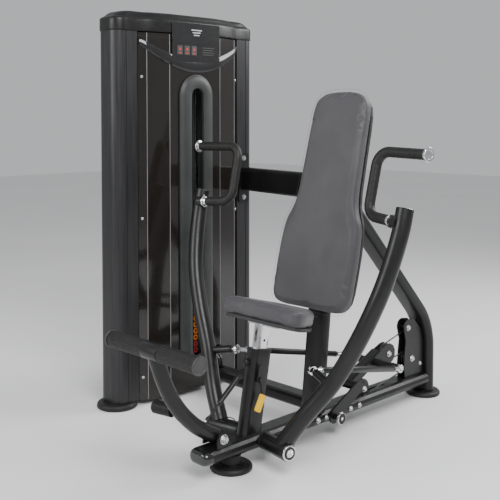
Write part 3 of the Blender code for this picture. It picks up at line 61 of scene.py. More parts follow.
# ---- materials ----
class Finish:
    """A Principled material whose colour, roughness and relief come from procedural textures."""

    def __init__(self, name, metallic=0.0, **sockets):
        self.material = bpy.data.materials.new(name)
        self.material.use_nodes = True
        self.tree = self.material.node_tree
        self.shader = self.tree.nodes["Principled BSDF"]
        self.shader.inputs["Metallic"].default_value = metallic
        for key, value in sockets.items():
            self.shader.inputs[key.replace("_", " ")].default_value = value
        self.coords = self.tree.nodes.new("ShaderNodeTexCoord")
        self.normal = None

    def link(self, source, target):
        self.tree.links.new(source, target)

    def noise(self, scale, detail=3.0, stretch=(1, 1, 1), distortion=0.0):
        mapping = self.tree.nodes.new("ShaderNodeMapping")
        mapping.inputs["Scale"].default_value = stretch
        self.link(self.coords.outputs["Object"], mapping.inputs["Vector"])
        texture = self.tree.nodes.new("ShaderNodeTexNoise")
        texture.inputs["Scale"].default_value = scale
        texture.inputs["Detail"].default_value = detail
        texture.inputs["Distortion"].default_value = distortion
        self.link(mapping.outputs["Vector"], texture.inputs["Vector"])
        return texture.outputs["Fac"]

    def cells(self, scale, feature="DISTANCE_TO_EDGE"):
        texture = self.tree.nodes.new("ShaderNodeTexVoronoi")
        texture.feature = feature
        texture.inputs["Scale"].default_value = scale
        self.link(self.coords.outputs["Object"], texture.inputs["Vector"])
        return texture.outputs["Distance"]

    def spread(self, factor, low, high, start=0.3, end=0.7):
        """Map a texture's range onto low..high."""
        node = self.tree.nodes.new("ShaderNodeMapRange")
        for key, value in (("From Min", start), ("From Max", end), ("To Min", low), ("To Max", high)):
            node.inputs[key].default_value = value
        self.link(factor, node.inputs["Value"])
        return node.outputs["Result"]

    def colours(self, factor, first, second, start=0.3, end=0.7):
        node = self.tree.nodes.new("ShaderNodeValToRGB")
        node.color_ramp.elements[0].position = start
        node.color_ramp.elements[1].position = end
        node.color_ramp.elements[0].color = (*first, 1)
        node.color_ramp.elements[1].color = (*second, 1)
        self.link(factor, node.inputs["Fac"])
        self.link(node.outputs["Color"], self.shader.inputs["Base Color"])
        return self

    def rough(self, factor, low, high):
        self.link(self.spread(factor, low, high), self.shader.inputs["Roughness"])
        return self

    def relief(self, factor, distance, strength=1.0):
        node = self.tree.nodes.new("ShaderNodeBump")
        node.inputs["Distance"].default_value = distance
        node.inputs["Strength"].default_value = strength
        self.link(factor, node.inputs["Height"])
        if self.normal:
            self.link(self.normal, node.inputs["Normal"])
        self.normal = node.outputs["Normal"]
        self.link(self.normal, self.shader.inputs["Normal"])
        return self


def powder_coat():
    finish = Finish("powder_coat_black", Coat_Weight=0.10, Coat_Roughness=0.18, Specular_IOR_Level=0.30)
    finish.colours(finish.noise(9.0, 4), (0.0052, 0.0052, 0.0056), (0.0092, 0.0092, 0.0096))
    finish.rough(finish.noise(45.0, 4), 0.29, 0.41)
    return finish.relief(finish.noise(520.0, 2), 0.00018, 0.5).material


def anodised(name, first, second):
    finish = Finish(name, metallic=0.6, Anisotropic=0.3, Specular_IOR_Level=0.4)
    grain = finish.noise(240.0, 3, (1, 1, 0.02))
    finish.colours(grain, first, second)
    finish.rough(finish.noise(160.0, 2, (1, 1, 0.03)), 0.30, 0.44)
    return finish.relief(grain, 0.00006, 0.5).material


def chrome(name="chrome_polished", tone=0.78, low=0.06, high=0.16):
    finish = Finish(name, metallic=1.0)
    finish.colours(finish.noise(30.0, 5), (tone, tone, tone + 0.01), (tone * 0.9, tone * 0.9, tone * 0.92))
    finish.rough(finish.noise(70.0, 5), low, high)
    return finish.relief(finish.noise(300.0, 2), 0.00002, 0.4).material


def plastic(name, first, second, low, high, grain=0.00008, scale=700.0, **sockets):
    finish = Finish(name, **sockets)
    finish.colours(finish.noise(14.0, 4), first, second)
    finish.rough(finish.noise(60.0, 4), low, high)
    return finish.relief(finish.noise(scale, 2), grain, 0.5).material


def ribbed_rubber():
    finish = Finish("rubber_grip", Specular_IOR_Level=0.32)
    finish.colours(finish.noise(35.0, 5), (0.0070, 0.0070, 0.0066), (0.0130, 0.0130, 0.0120))
    finish.rough(finish.noise(80.0, 4), 0.42, 0.60)
    finish.relief(finish.cells(650.0), 0.00025, 0.5)
    return finish.relief(finish.noise(1500.0, 2), 0.0001, 0.6).material


def vinyl():
    finish = Finish("vinyl_grey", Sheen_Weight=0.12, Sheen_Roughness=0.5, Specular_IOR_Level=0.36)
    finish.colours(finish.noise(7.0, 5, distortion=0.4), (0.046, 0.045, 0.050), (0.059, 0.058, 0.063))
    finish.rough(finish.noise(26.0, 5), 0.44, 0.58)
    finish.relief(finish.cells(520.0), 0.00016, 0.55)
    finish.relief(finish.cells(1400.0, "F1"), 0.00008, 0.5)
    return finish.relief(finish.noise(40.0, 3), 0.0004, 0.25).material


def smoked_panel():
    finish = Finish("panel_smoked", Coat_Weight=0.30, Coat_Roughness=0.03, IOR=1.45, Alpha=0.86)
    finish.colours(finish.noise(2.0, 3, (1, 1, 0.2)), (0.0095, 0.0080, 0.0070), (0.0165, 0.0140, 0.0120))
    finish.rough(finish.noise(8.0, 4), 0.07, 0.13)
    return finish.relief(finish.noise(5.0, 2), 0.0012, 0.12).material


def cast_iron():
    finish = Finish("cast_iron_painted", metallic=0.25)
    finish.colours(finish.noise(40.0, 6), (0.014, 0.014, 0.016), (0.034, 0.034, 0.037))
    finish.rough(finish.noise(90.0, 5), 0.42, 0.66)
    return finish.relief(finish.noise(380.0, 4), 0.0003, 0.7).material


def painted_board():
    finish = Finish("board_painted")
    grain = finish.noise(60.0, 5, (1, 0.15, 1), 0.6)
    finish.colours(grain, (0.013, 0.013, 0.013), (0.027, 0.026, 0.025))
    finish.rough(grain, 0.55, 0.75)
    return finish.relief(grain, 0.0003, 0.5).material


def woven_cable():
    finish = Finish("cable_coated", Coat_Weight=0.3, Coat_Roughness=0.2)
    finish.colours(finish.noise(260.0, 3), (0.010, 0.010, 0.010), (0.026, 0.026, 0.026))
    finish.rough(finish.noise(200.0, 3), 0.28, 0.45)
    return finish.relief(finish.noise(1800.0, 1), 0.0001, 0.6).material


POWDER = powder_coat()
COLUMN = anodised("column_anodised", (0.028, 0.028, 0.029), (0.046, 0.046, 0.048))
# Pale satin for the top beam and the liner, also used for the painted highlight lines on the panel bends.
BEAM_AND_HIGHLIGHT = anodised("beam_satin_and_highlight", (0.26, 0.26, 0.27), (0.36, 0.36, 0.37))
CHROME = chrome()
ZINC = chrome("bolt_zinc", 0.52, 0.22, 0.36)
RUBBER = ribbed_rubber()
FOOT = plastic("foot_rubber", (0.0075, 0.0075, 0.0075), (0.0135, 0.0135, 0.013), 0.44, 0.60, 0.00025, 500.0,
               Specular_IOR_Level=0.34)
GLOSS = plastic("gloss_black", (0.0055, 0.0055, 0.006), (0.0095, 0.0095, 0.010), 0.10, 0.18,
                0.00005, 90.0, Coat_Weight=0.5, Coat_Roughness=0.05)
CAP = plastic("cap_textured", (0.0055, 0.0055, 0.0058), (0.0100, 0.0100, 0.0104), 0.30, 0.44, 0.00022,
              Specular_IOR_Level=0.34)
NYLON = plastic("pulley_nylon", (0.0085, 0.0085, 0.0085), (0.0160, 0.0160, 0.0165), 0.30, 0.44)
MOULDING = plastic("slot_moulding", (0.026, 0.028, 0.028), (0.037, 0.039, 0.039), 0.38, 0.52, 0.00016,
                   Specular_IOR_Level=0.40)
YELLOW = plastic("grip_yellow", (0.84, 0.47, 0.002), (0.92, 0.56, 0.006), 0.40, 0.54, 0.00012,
                 Specular_IOR_Level=0.30)
GREY_END = plastic("roller_end", (0.026, 0.026, 0.027), (0.040, 0.040, 0.041), 0.34, 0.48)
PALE_MARK = plastic("mark_pale", (0.42, 0.42, 0.43), (0.52, 0.52, 0.53), 0.30, 0.42, 0.00003)
RED_MARK = plastic("mark_red", (0.36, 0.020, 0.015), (0.46, 0.035, 0.022), 0.34, 0.46, 0.00003)
ORANGE_MARK = plastic("mark_orange", (0.62, 0.15, 0.015), (0.74, 0.21, 0.025), 0.34, 0.46, 0.00003)
GREEN_MARK = plastic("mark_green", (0.05, 0.20, 0.060), (0.08, 0.27, 0.080), 0.34, 0.46, 0.00003)
THREAD = plastic("thread_grey", (0.050, 0.050, 0.055), (0.075, 0.074, 0.080), 0.60, 0.80, 0.0002, 2500.0)
VINYL, PANEL, IRON, BOARD, CABLE = vinyl(), smoked_panel(), cast_iron(), painted_board(), woven_cable()


# ---- outlines and routes ----
def arc(cu, cv, radius, start, end, steps):
    angles = (math.radians(start + (end - start) * i / steps) for i in range(steps + 1))
    return [(cu + radius * math.cos(a), cv + radius * math.sin(a)) for a in angles]


def circle(radius, steps=32):
    return arc(0, 0, radius, 0, 360 * (steps - 1) / steps, steps - 1)


def oval(width=0.100, height=0.050, steps=16):
    reach, radius = (width - height) / 2, height / 2
    return arc(reach, 0, radius, -90, 90, steps) + arc(-reach, 0, radius, 90, 270, steps)


def rounded_rectangle(width, height, radius, steps=6, cu=0.0, cv=0.0):
    u, v = width / 2 - radius, height / 2 - radius
    points = []
    for su, sv, start in ((u, -v, -90), (u, v, 0), (-u, v, 90), (-u, -v, 180)):
        points += arc(cu + su, cv + sv, radius, start, start + 90, steps)
    return points


def smooth_route(points, steps=8):
    knots = [Vector(p) for p in points]
    knots = [2 * knots[0] - knots[1]] + knots + [2 * knots[-1] - knots[-2]]
    route = []
    for i in range(1, len(knots) - 2):
        a, b, c, d = knots[i - 1:i + 3]
        for k in range(steps):
            t = k / steps
            route.append(0.5 * (2 * b + (c - a) * t + (2 * a - 5 * b + 4 * c - d) * t * t
                                + (3 * b - a - 3 * c + d) * t ** 3))
    return route + [knots[-2]]


def rounded_route(points, radius, steps=16):
    knots = [Vector(p) for p in points]
    route = [knots[0]]
    for before, corner, after in zip(knots, knots[1:], knots[2:]):
        arrive, leave = (corner - before).normalized(), (after - corner).normalized()
        turn = arrive.angle(leave)
        centre = corner + (leave - arrive).normalized() * radius / math.cos(turn / 2)
        start = corner - arrive * radius * math.tan(turn / 2) - centre
        axis = arrive.cross(leave).normalized()
        route += [centre + Matrix.Rotation(turn * i / steps, 3, axis) @ start for i in range(steps + 1)]
    return route + [knots[-1]]


def mirrored(point, side):
    return Vector((point[0] * side, point[1], point[2]))


# ---- solids ----
def skin(bm, rings, closed=False, caps=True):
    """Faces between rings of equal length; closed joins the last ring to the first."""
    count = len(rings[0])
    pairs = list(zip(rings, rings[1:])) + ([(rings[-1], rings[0])] if closed else [])
    for low, high in pairs:
        for j in range(count):
            k = (j + 1) % count
            corners = list(dict.fromkeys((low[j], low[k], high[k], high[j])))
            if len(corners) > 2:
                bm.faces.new(corners)
    if caps and not closed:
        for ring in (rings[0], rings[-1]):
            if len(set(ring)) > 2:
                bm.faces.new(ring)


def tube(bm, route, section, side, scales=None, ends=(None, None)):
    """Carry a section along a route; ends holds cutting planes as (point, normal)."""
    rings = []
    for i, centre in enumerate(route):
        along = (route[min(i + 1, len(route) - 1)] - route[max(i - 1, 0)]).normalized()
        across = (side - side.dot(along) * along).normalized()
        up = along.cross(across)
        scale = scales[i] if scales else 1.0
        points = [centre + scale * (u * across + v * up) for u, v in section]
        plane = ends[0] if i == 0 else ends[1] if i == len(route) - 1 else None
        if plane:
            points = [p + along * (plane[0] - p).dot(plane[1]) / along.dot(plane[1]) for p in points]
        rings.append([bm.verts.new(p) for p in points])
    skin(bm, rings)


def lathe(bm, profile, origin, axis, steps=48, ring=False):
    axis = Vector(axis).normalized()
    across = axis.orthogonal().normalized()
    up = axis.cross(across)
    rings = []
    for radius, height in profile:
        centre = Vector(origin) + axis * height
        if radius == 0.0:
            rings.append([bm.verts.new(centre)] * steps)
            continue
        angles = [2 * math.pi * j / steps for j in range(steps)]
        rings.append([bm.verts.new(centre + radius * (math.cos(a) * across + math.sin(a) * up))
                      for a in angles])
    skin(bm, rings, closed=ring, caps=False)


def soft_profile(points, radius, steps=4):
    """Round a lathe profile's inner corners by one radius."""
    route = [Vector((*points[0], 0))]
    for before, corner, after in zip(points, points[1:], points[2:]):
        before, corner, after = (Vector((*p, 0)) for p in (before, corner, after))
        reach = min(radius, (corner - before).length * 0.45, (after - corner).length * 0.45)
        first = corner + (before - corner).normalized() * reach
        last = corner + (after - corner).normalized() * reach
        for i in range(steps + 1):
            t = i / steps
            route.append(first * (1 - t) ** 2 + corner * 2 * t * (1 - t) + last * t * t)
    route.append(Vector((*points[-1], 0)))
    return [(max(p.x, 0.0), p.y) for p in route]


def turned(bm, points, soft, origin, axis, steps=48, ring=False):
    """A lathe solid whose profile has softened corners."""
    lathe(bm, soft_profile(points, soft), origin, axis, steps, ring)


def slab(bm, outline, origin, across, up, thickness):
    across, up = Vector(across), Vector(up)
    normal = across.cross(up).normalized() * thickness
    low = [bm.verts.new(Vector(origin) + u * across + v * up) for u, v in outline]
    high = [bm.verts.new(p.co + normal) for p in low]
    skin(bm, [low, high])


def side_slab(bm, outline, x_low, thickness):
    slab(bm, outline, (x_low, 0, 0), Y, Z, thickness)


def emit(name, bm, material, body, replaced=(), bevel=0.0, angle=38):
    """Turn a bmesh into a finished piece that rides on a body."""
    bmesh.ops.recalc_face_normals(bm, faces=bm.faces)
    mesh = bpy.data.meshes.new(name)
    bm.to_mesh(mesh)
    bm.free()
    for entry in (material if isinstance(material, (list, tuple)) else [material]):
        mesh.materials.append(entry)
    mesh.shade_smooth()
    mesh.set_sharp_from_angle(angle=math.radians(angle))
    piece = bpy.data.objects.new(name, mesh)
    bpy.context.scene.collection.objects.link(piece)
    if bevel:
        modifier = piece.modifiers.new("edge", "BEVEL")
        modifier.width, modifier.segments, modifier.limit_method = bevel, 3, "ANGLE"
        modifier.angle_limit = math.radians(38)
        modifier.harden_normals = True
    if body:
        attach(piece, body)
    if replaced:
        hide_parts(*replaced)
    return piece


# ---- frame ----
SPINE_Z, SPINE_TOP = 0.080, 0.105
POST_Y, REAR_Y = 0.428, 1.169
BACK_SLOPE = 0.2556
BACK_BASE = Vector((0.0, 0.385, 0.525))
BACK_UP = Vector((0, BACK_SLOPE, 1)).normalized()
SEAT_LEAN = Vector((0, math.sin(math.radians(10.5)), math.cos(math.radians(10.5))))
SLEEVE_TOP = Vector((0, 0.140, 0.400))
POST_TOP_Z = 1.12
FLOOR_GAP = 0.0245
LOW_PULLEY, REAR_PULLEY, ROCKER_PULLEY = (0.725, 0.122), (1.056, 0.182), (0.890, 0.235)
CABLE_ANCHOR, CABLE_RADIUS, CABLE_Z = (1.027, 0.321), 0.003, 0.0835


def post_y(z):
    """Centre line of the backrest post where it follows the pad."""
    return BACK_BASE.y + BACK_SLOPE * (z - BACK_BASE.z) + (0.063 + 0.025) * math.sqrt(1 + BACK_SLOPE ** 2)


def weld_bead(bm, points, radius=0.0026, pitch=0.0045):
    """A rippled fillet along a closed loop of points."""
    loop = [Vector(p) for p in points]
    route = []
    for a, b in zip(loop, loop[1:] + loop[:1]):
        count = max(1, int((b - a).length / pitch * 2))
        route += [a.lerp(b, i / count) for i in range(count)]
    rings = []
    for i, centre in enumerate(route):
        along = (route[(i + 1) % len(route)] - route[i - 1]).normalized()
        across = along.orthogonal().normalized() if abs(along.z) > 0.95 else along.cross(Z).normalized()
        up = along.cross(across)
        scale = radius * (1.0 if i % 2 else 0.80)
        rings.append([bm.verts.new(centre + scale * (u * across + v * up)) for u, v in circle(1.0, 8)])
    skin(bm, rings, closed=True)


def hex_bolt(bm, origin, axis, radius=0.0075, washer=True):
    """Washer, chamfered hexagon head and the rounded end of its thread."""
    axis = Vector(axis).normalized()
    base = Vector(origin)
    if washer:
        lathe(bm, [(0, 0), (radius * 1.55, 0), (radius * 1.62, 0.0004), (radius * 1.55, 0.0014), (0, 0.0016)],
              base, axis, 28)
    across = axis.orthogonal().normalized()
    up = axis.cross(across)
    rings = []
    for scale, level in ((1.15, 0.0012), (1.15, radius * 0.82), (1.02, radius), (0.60, radius * 0.96),
                         (0.50, radius * 0.80)):
        points = arc(0, 0, scale * radius, 0, 300, 5)
        rings.append([bm.verts.new(base + axis * level + u * across + v * up) for u, v in points])
    skin(bm, rings)


def build_posts():
    floor_plane = (Vector((0, 0, SPINE_TOP)), Z)
    bm = bmesh.new()
    knots = [(0, POST_Y, SPINE_TOP), (0, post_y(0.50), 0.50), (0, post_y(POST_TOP_Z), POST_TOP_Z)]
    route = rounded_route(knots, 0.45, 24)
    tube(bm, route, oval(), X, ends=(floor_plane, None))
    emit("backrest_post_tube", bm, POWDER, "frame", ["backrest_post"])
    bm = bmesh.new()
    outward = Vector((0, BACK_UP.z, -BACK_UP.y))
    top = Vector((0, post_y(POST_TOP_Z), POST_TOP_Z))
    tube(bm, [top + BACK_UP * rise for rise in (0.0, 0.002, 0.004, 0.0052)], oval(0.098, 0.048), X,
         scales=[1.0, 1.0, 0.94, 0.80])
    emit("backrest_post_plug", bm, CAP, "frame")
    bm = bmesh.new()
    back = Vector((0, post_y(0.90), 0.90)) + outward * 0.025
    route = rounded_route([(0, REAR_Y, FLOOR_GAP), (0, REAR_Y, 0.322), (0, 0.600, 0.912)], 0.26, 28)
    tube(bm, route, oval(), X, ends=((Vector((0, 0, FLOOR_GAP)), Z), (back, outward)))
    emit("rear_brace_tube", bm, POWDER, "frame", ["rear_brace"])
    foot = SLEEVE_TOP - SEAT_LEAN * (SLEEVE_TOP.z - SPINE_TOP) / SEAT_LEAN.z
    bm = bmesh.new()
    tube(bm, [foot, SLEEVE_TOP - SEAT_LEAN * 0.001], oval(), Y, ends=(floor_plane, None))
    route = [SLEEVE_TOP - SEAT_LEAN * drop for drop in (0.012, 0.0115, 0.0005, 0.0)]
    tube(bm, route, oval(0.1030, 0.0530), Y, scales=[0.985, 1.0, 1.0, 0.985])
    emit("seat_sleeve_tube", bm, POWDER, "frame", ["seat_post_sleeve"])
    bm = bmesh.new()
    bead = oval(0.1035, 0.0535, 10)
    weld_bead(bm, [Vector((0, POST_Y, SPINE_TOP)) + Vector((u, v * 1.02, 0.0005)) for u, v in bead])
    weld_bead(bm, [foot + Vector((v, u, 0.0005)) for u, v in bead])
    weld_bead(bm, [Vector((-0.0510, 0.55 + u, SPINE_Z + v)) for u, v in bead])
    across = outward.cross(X)
    slant = (0.912 - 0.322) / math.hypot(0.569, 0.59)
    weld_bead(bm, [back + X * u + across * v / slant for u, v in bead], 0.0024)
    emit("frame_weld_beads", bm, POWDER, "frame")


def build_spine_ends():
    bm = bmesh.new()
    steps = [(0.0, 1.0), (0.004, 1.0), (0.010, 0.992), (0.016, 0.972), (0.022, 0.935), (0.027, 0.878),
             (0.031, 0.79), (0.0335, 0.68), (0.0347, 0.52), (0.035, 0.30)]
    tube(bm, [Vector((0, -0.1253 - depth, SPINE_Z)) for depth, scale in steps], oval(), X,
         scales=[scale for depth, scale in steps])
    emit("front_plug", bm, GLOSS, "frame", ["front_end_cap"])
    discs = (("front_foot", (0, 0, 0), 0.0547, 0.075), ("rear_foot", (0, REAR_Y, 0), 0.0238, 0.075))
    for name, origin, neck, radius in discs:
        bm = bmesh.new()
        profile = [(0, 0), (radius - 0.004, 0), (radius, 0.004), (radius, 0.013), (radius - 0.007, 0.0195),
                   (0.044, 0.0205), (0.036, 0.0225), (0.034, 0.0228), (0.034, neck), (0, neck)]
        turned(bm, profile, 0.0022, origin, Z, 72)
        emit(name + "_pad", bm, FOOT, "frame", [name + "_disc"])
        bm = bmesh.new()
        turned(bm, [(0.036, 0.0212), (0.046, 0.0212), (0.046, 0.0238), (0.036, 0.0246)], 0.0008,
               origin, Z, 56, ring=True)
        emit(name + "_collar", bm, POWDER, "frame")
    for name, y in (("tower_front_foot", 0.0945), ("tower_rear_foot", 0.8055)):
        bm = bmesh.new()
        profile = [(0, 0), (0.081, 0), (0.086, 0.004), (0.086, 0.016), (0.082, 0.0215), (0.076, 0.0245),
                   (0, 0.025)]
        turned(bm, profile, 0.003, (-0.811, y, 0), Z, 72)
        emit(name + "_pad", bm, FOOT, "frame", [name])


def build_bolts():
    bm = bmesh.new()
    for y in (0.405, 0.455):
        hex_bolt(bm, (0.0496, y, SPINE_Z), X, 0.0070)
    for y in (0.600, 0.655):
        hex_bolt(bm, (0.0496, y, SPINE_Z), X, 0.0065)
    for sign in (-1, 1):
        for spot, radius in ((REAR_PULLEY, 0.0085), (CABLE_ANCHOR, 0.0080), ((1.115, 0.150), 0.0055)):
            hex_bolt(bm, (sign * 0.0195, *spot), (sign, 0, 0), radius)
        hex_bolt(bm, (sign * 0.0185, *LOW_PULLEY), (sign, 0, 0), 0.0080)
        hex_bolt(bm, (sign * 0.0400, -0.070, 0.132), (sign, 0, 0), 0.0110)
    for z in (0.853, 1.037):
        hex_bolt(bm, (-0.7417, 0.776, z), X, 0.0075)
    for z in (0.880, 0.980):
        hex_bolt(bm, (-0.0573, 0.612, z), (-1, 0, 0), 0.0070)
    emit("frame_bolts", bm, ZINC, "frame", angle=25)
    bm = bmesh.new()
    for y in (0.180, 0.720):
        sign = 1 if y < 0.45 else -1
        for z in (0.12, 0.80, 1.40):
            turned(bm, [(0, 0.0035), (0.003, 0.0035), (0.006, 0.002), (0.0065, 0), (0, 0)], 0.0006,
                   (-0.7420, y, z), (0.86, -0.5 * sign, 0), 20)
    emit("panel_screws", bm, ZINC, "frame")
    bm = bmesh.new()
    origin = Vector((0, 0.0835, 0.360))
    outward = Vector((0, -SEAT_LEAN.z, SEAT_LEAN.y))
    profile = [(0, 0), (0.008, 0), (0.008, 0.006), (0.0125, 0.008), (0.0125, 0.018), (0.010, 0.021),
               (0, 0.0215)]
    turned(bm, profile, 0.0012, origin, outward, 40)
    emit("seat_stop_knob", bm, CAP, "frame")


# ---- tower ----
TOWER_MID = 0.450
PANEL_LINE = ((-0.751, 0.1665), (-0.730, 0.1980), (-0.710, 0.3050), (-0.710, 0.5950), (-0.730, 0.7020),
              (-0.751, 0.7335))


def panel_x(y):
    for (x0, y0), (x1, y1) in zip(PANEL_LINE, PANEL_LINE[1:]):
        if y0 <= y <= y1:
            return x0 + (x1 - x0) * (y - y0) / (y1 - y0)
    return PANEL_LINE[0][0]


def column_outline(sign):
    """Plan of a column with a shallow groove beside each rounded corner."""
    face, back, radius = -0.749, -0.889, 0.048
    inner, outer = TOWER_MID + sign * 0.2875, TOWER_MID + sign * 0.3975
    groove = outer - sign * (radius + 0.004)
    points = [(face, inner), (face, groove - sign * 0.0030), (face - 0.0018, groove - sign * 0.0024),
              (face - 0.0018, groove - sign * 0.0006), (face, groove)]
    points += arc(face - radius, outer - sign * radius, radius, 0, 90 * sign, 16)
    points += arc(back + radius, outer - sign * radius, radius, 90 * sign, 180 * sign, 16)
    return points + [(back, inner)]


def build_columns():
    for name, sign in (("column_front", -1.0), ("column_rear", 1.0)):
        bm = bmesh.new()
        rings = [[bm.verts.new((x, y, z)) for x, y in column_outline(sign)] for z in (0.0253, 1.590)]
        skin(bm, rings)
        emit(name + "_profile", bm, COLUMN, "frame", [name])


def cap_outline(grow, corner_steps=14):
    front = [(x + grow, y) for x, y in PANEL_LINE]
    outer, radius = 0.0525 - grow, 0.048 + grow
    face, back = -0.749 + grow, -0.889 - grow
    points = list(reversed(front))
    points += arc(face - radius, outer + radius, radius, 0, -90, corner_steps)
    points += arc(back + radius, outer + radius, radius, -90, -180, corner_steps)
    points += arc(back + radius, 0.9 - outer - radius, radius, 180, 90, corner_steps)
    return points + arc(face - radius, 0.9 - outer - radius, radius, 90, 0, corner_steps)


def build_cap():
    bm = bmesh.new()
    centre = Vector((-0.819, TOWER_MID))
    rings = []
    for grow, z, shrink in ((0.0025, 1.5903, 1.0), (0.0036, 1.5915, 1.0), (0.0040, 1.596, 1.0),
                            (0.0040, 1.632, 1.0), (0.0034, 1.639, 1.0), (0.0016, 1.6435, 1.0),
                            (-0.0010, 1.6458, 0.998), (-0.0045, 1.6490, 0.985), (-0.0070, 1.6560, 0.965),
                            (-0.0090, 1.6640, 0.945), (-0.0125, 1.6710, 0.915), (-0.0160, 1.6745, 0.875),
                            (-0.0180, 1.6760, 0.80)):
        ring = []
        for x, y in cap_outline(grow):
            spot = centre + (Vector((x, y)) - centre) * shrink
            ring.append(bm.verts.new((spot.x, spot.y, z)))
        rings.append(ring)
    skin(bm, rings)
    emit("top_cap_moulding", bm, CAP, "frame", ["top_cap"], angle=50)


def build_liner():
    """A pale sheet inside the back of the tower that shows through the arch."""
    bm = bmesh.new()
    side_slab(bm, rounded_rectangle(0.500, 0.930, 0.004, 3, TOWER_MID, 1.085), -0.8838, 0.0015)
    emit("tower_liner", bm, BEAM_AND_HIGHLIGHT, "frame")


def slot_loop(radius, x, steps=32):
    outline = arc(TOWER_MID, 1.322, radius, 0, 180, steps) + arc(TOWER_MID, 0.205, radius, 180, 360, steps)
    return [(x, y, z) for y, z in outline]


def build_slot():
    """The arch's moulding: a broad rounded rim with a lip on both edges."""
    bm = bmesh.new()
    profile = [(0.0340, -0.7060), (0.0940, -0.7090), (0.0940, -0.7025), (0.0932, -0.7008), (0.0915, -0.6998),
               (0.0895, -0.6988), (0.0870, -0.6962), (0.0850, -0.6944), (0.0800, -0.6918), (0.0720, -0.6894),
               (0.0620, -0.6882), (0.0520, -0.6880), (0.0450, -0.6886), (0.0400, -0.6900), (0.0370, -0.6912),
               (0.0352, -0.6918), (0.0342, -0.6930)]
    rings = [[bm.verts.new(p) for p in slot_loop(radius, x)] for radius, x in profile]
    skin(bm, rings, closed=True)
    emit("slot_moulding_arch", bm, MOULDING, "frame", ["slot_frame"], angle=50)
    # Thin pale rods along the smoked panel's bends: painted highlights standing in for the bright reflections
    # on the bent sheet's corners.
    bm = bmesh.new()
    for corner_x, corner_y in (PANEL_LINE[2], PANEL_LINE[3], PANEL_LINE[1], PANEL_LINE[4]):
        tube(bm, [Vector((corner_x, corner_y, 0.024)), Vector((corner_x, corner_y, 1.584))],
             circle(0.0013, 12), Y)
    emit("panel_bend_highlight_lines", bm, BEAM_AND_HIGHLIGHT, "frame")


TILE_OFFSETS = (-0.092, -0.052, -0.012)


def build_sign():
    """Head of the tower: glossy badge, a plain picture field and the drooping band."""
    bm = bmesh.new()
    side_slab(bm, rounded_rectangle(0.272, 0.084, 0.006, 6, TOWER_MID, 1.597), -0.7055, 0.0040)
    emit("sign_badge", bm, GLOSS, "frame", ["sign_panel"], bevel=0.0010)
    bm = bmesh.new()
    side_slab(bm, [(TOWER_MID - 0.135, 1.470), (TOWER_MID + 0.135, 1.470), (TOWER_MID + 0.135, 1.556),
                   (TOWER_MID - 0.135, 1.556)], -0.7082, 0.0038)
    rings = []
    for i in range(65):
        reach = (i / 32 - 1) * 0.280
        droop = 1 - (reach / 0.280) ** 2
        y = TOWER_MID + reach
        x = panel_x(y) + 0.001
        low, high = 1.534 - 0.108 * droop, 1.560 - 0.080 * droop
        edge = ((0, low), (0.0032, low), (0.0040, low + 0.0012), (0.0040, high - 0.0012), (0.0032, high),
                (0, high))
        rings.append([bm.verts.new((x + depth, y, z)) for depth, z in edge])
    skin(bm, rings)
    emit("sign_field", bm, GLOSS, "frame")
    bm = bmesh.new()
    for i in range(3):
        reach = 0.030 - i * 0.007
        stripe = rounded_rectangle(reach * 2, 0.0050, 0.0024, 4, TOWER_MID, 1.609 - i * 0.011)
        side_slab(bm, stripe, -0.7015, 0.0008)
    emit("badge_mark", bm, PALE_MARK, "frame")
    bm = bmesh.new()
    for offset in TILE_OFFSETS:
        side_slab(bm, rounded_rectangle(0.030, 0.040, 0.004, 4, TOWER_MID + offset, 1.520), -0.7044, 0.0006)
    for i in range(4):
        side_slab(bm, rounded_rectangle(0.070 - 0.008 * (i % 2), 0.0035, 0.0016, 3, TOWER_MID + 0.070,
                                        1.535 - i * 0.010), -0.7044, 0.0006)
    emit("picture_tiles", bm, GREY_END, "frame")
    bm = bmesh.new()
    for offset in TILE_OFFSETS:
        lathe(bm, [(0, 0), (0.0065, 0), (0.0065, 0.0004), (0, 0.0004)],
              (-0.7037, TOWER_MID + offset, 1.524), X, 24)
        side_slab(bm, rounded_rectangle(0.018, 0.004, 0.0018, 3, TOWER_MID + offset, 1.507), -0.7038, 0.0005)
    emit("picture_marks", bm, RED_MARK, "frame")


STACK_X, STACK_BOTTOM, PITCH = -0.815, 0.160, 0.029


def weight_plate(bm, z):
    """One plate with rounded corners and chamfered rims."""
    rings = []
    for inset, level in ((0.0016, 0.0), (0.0, 0.0016), (0.0, 0.0262), (0.0016, 0.0278)):
        outline = rounded_rectangle(0.100 - 2 * inset, 0.290 - 2 * inset, 0.008, 5)
        rings.append([bm.verts.new((STACK_X + u, TOWER_MID + v, z + level)) for u, v in outline])
    skin(bm, rings)


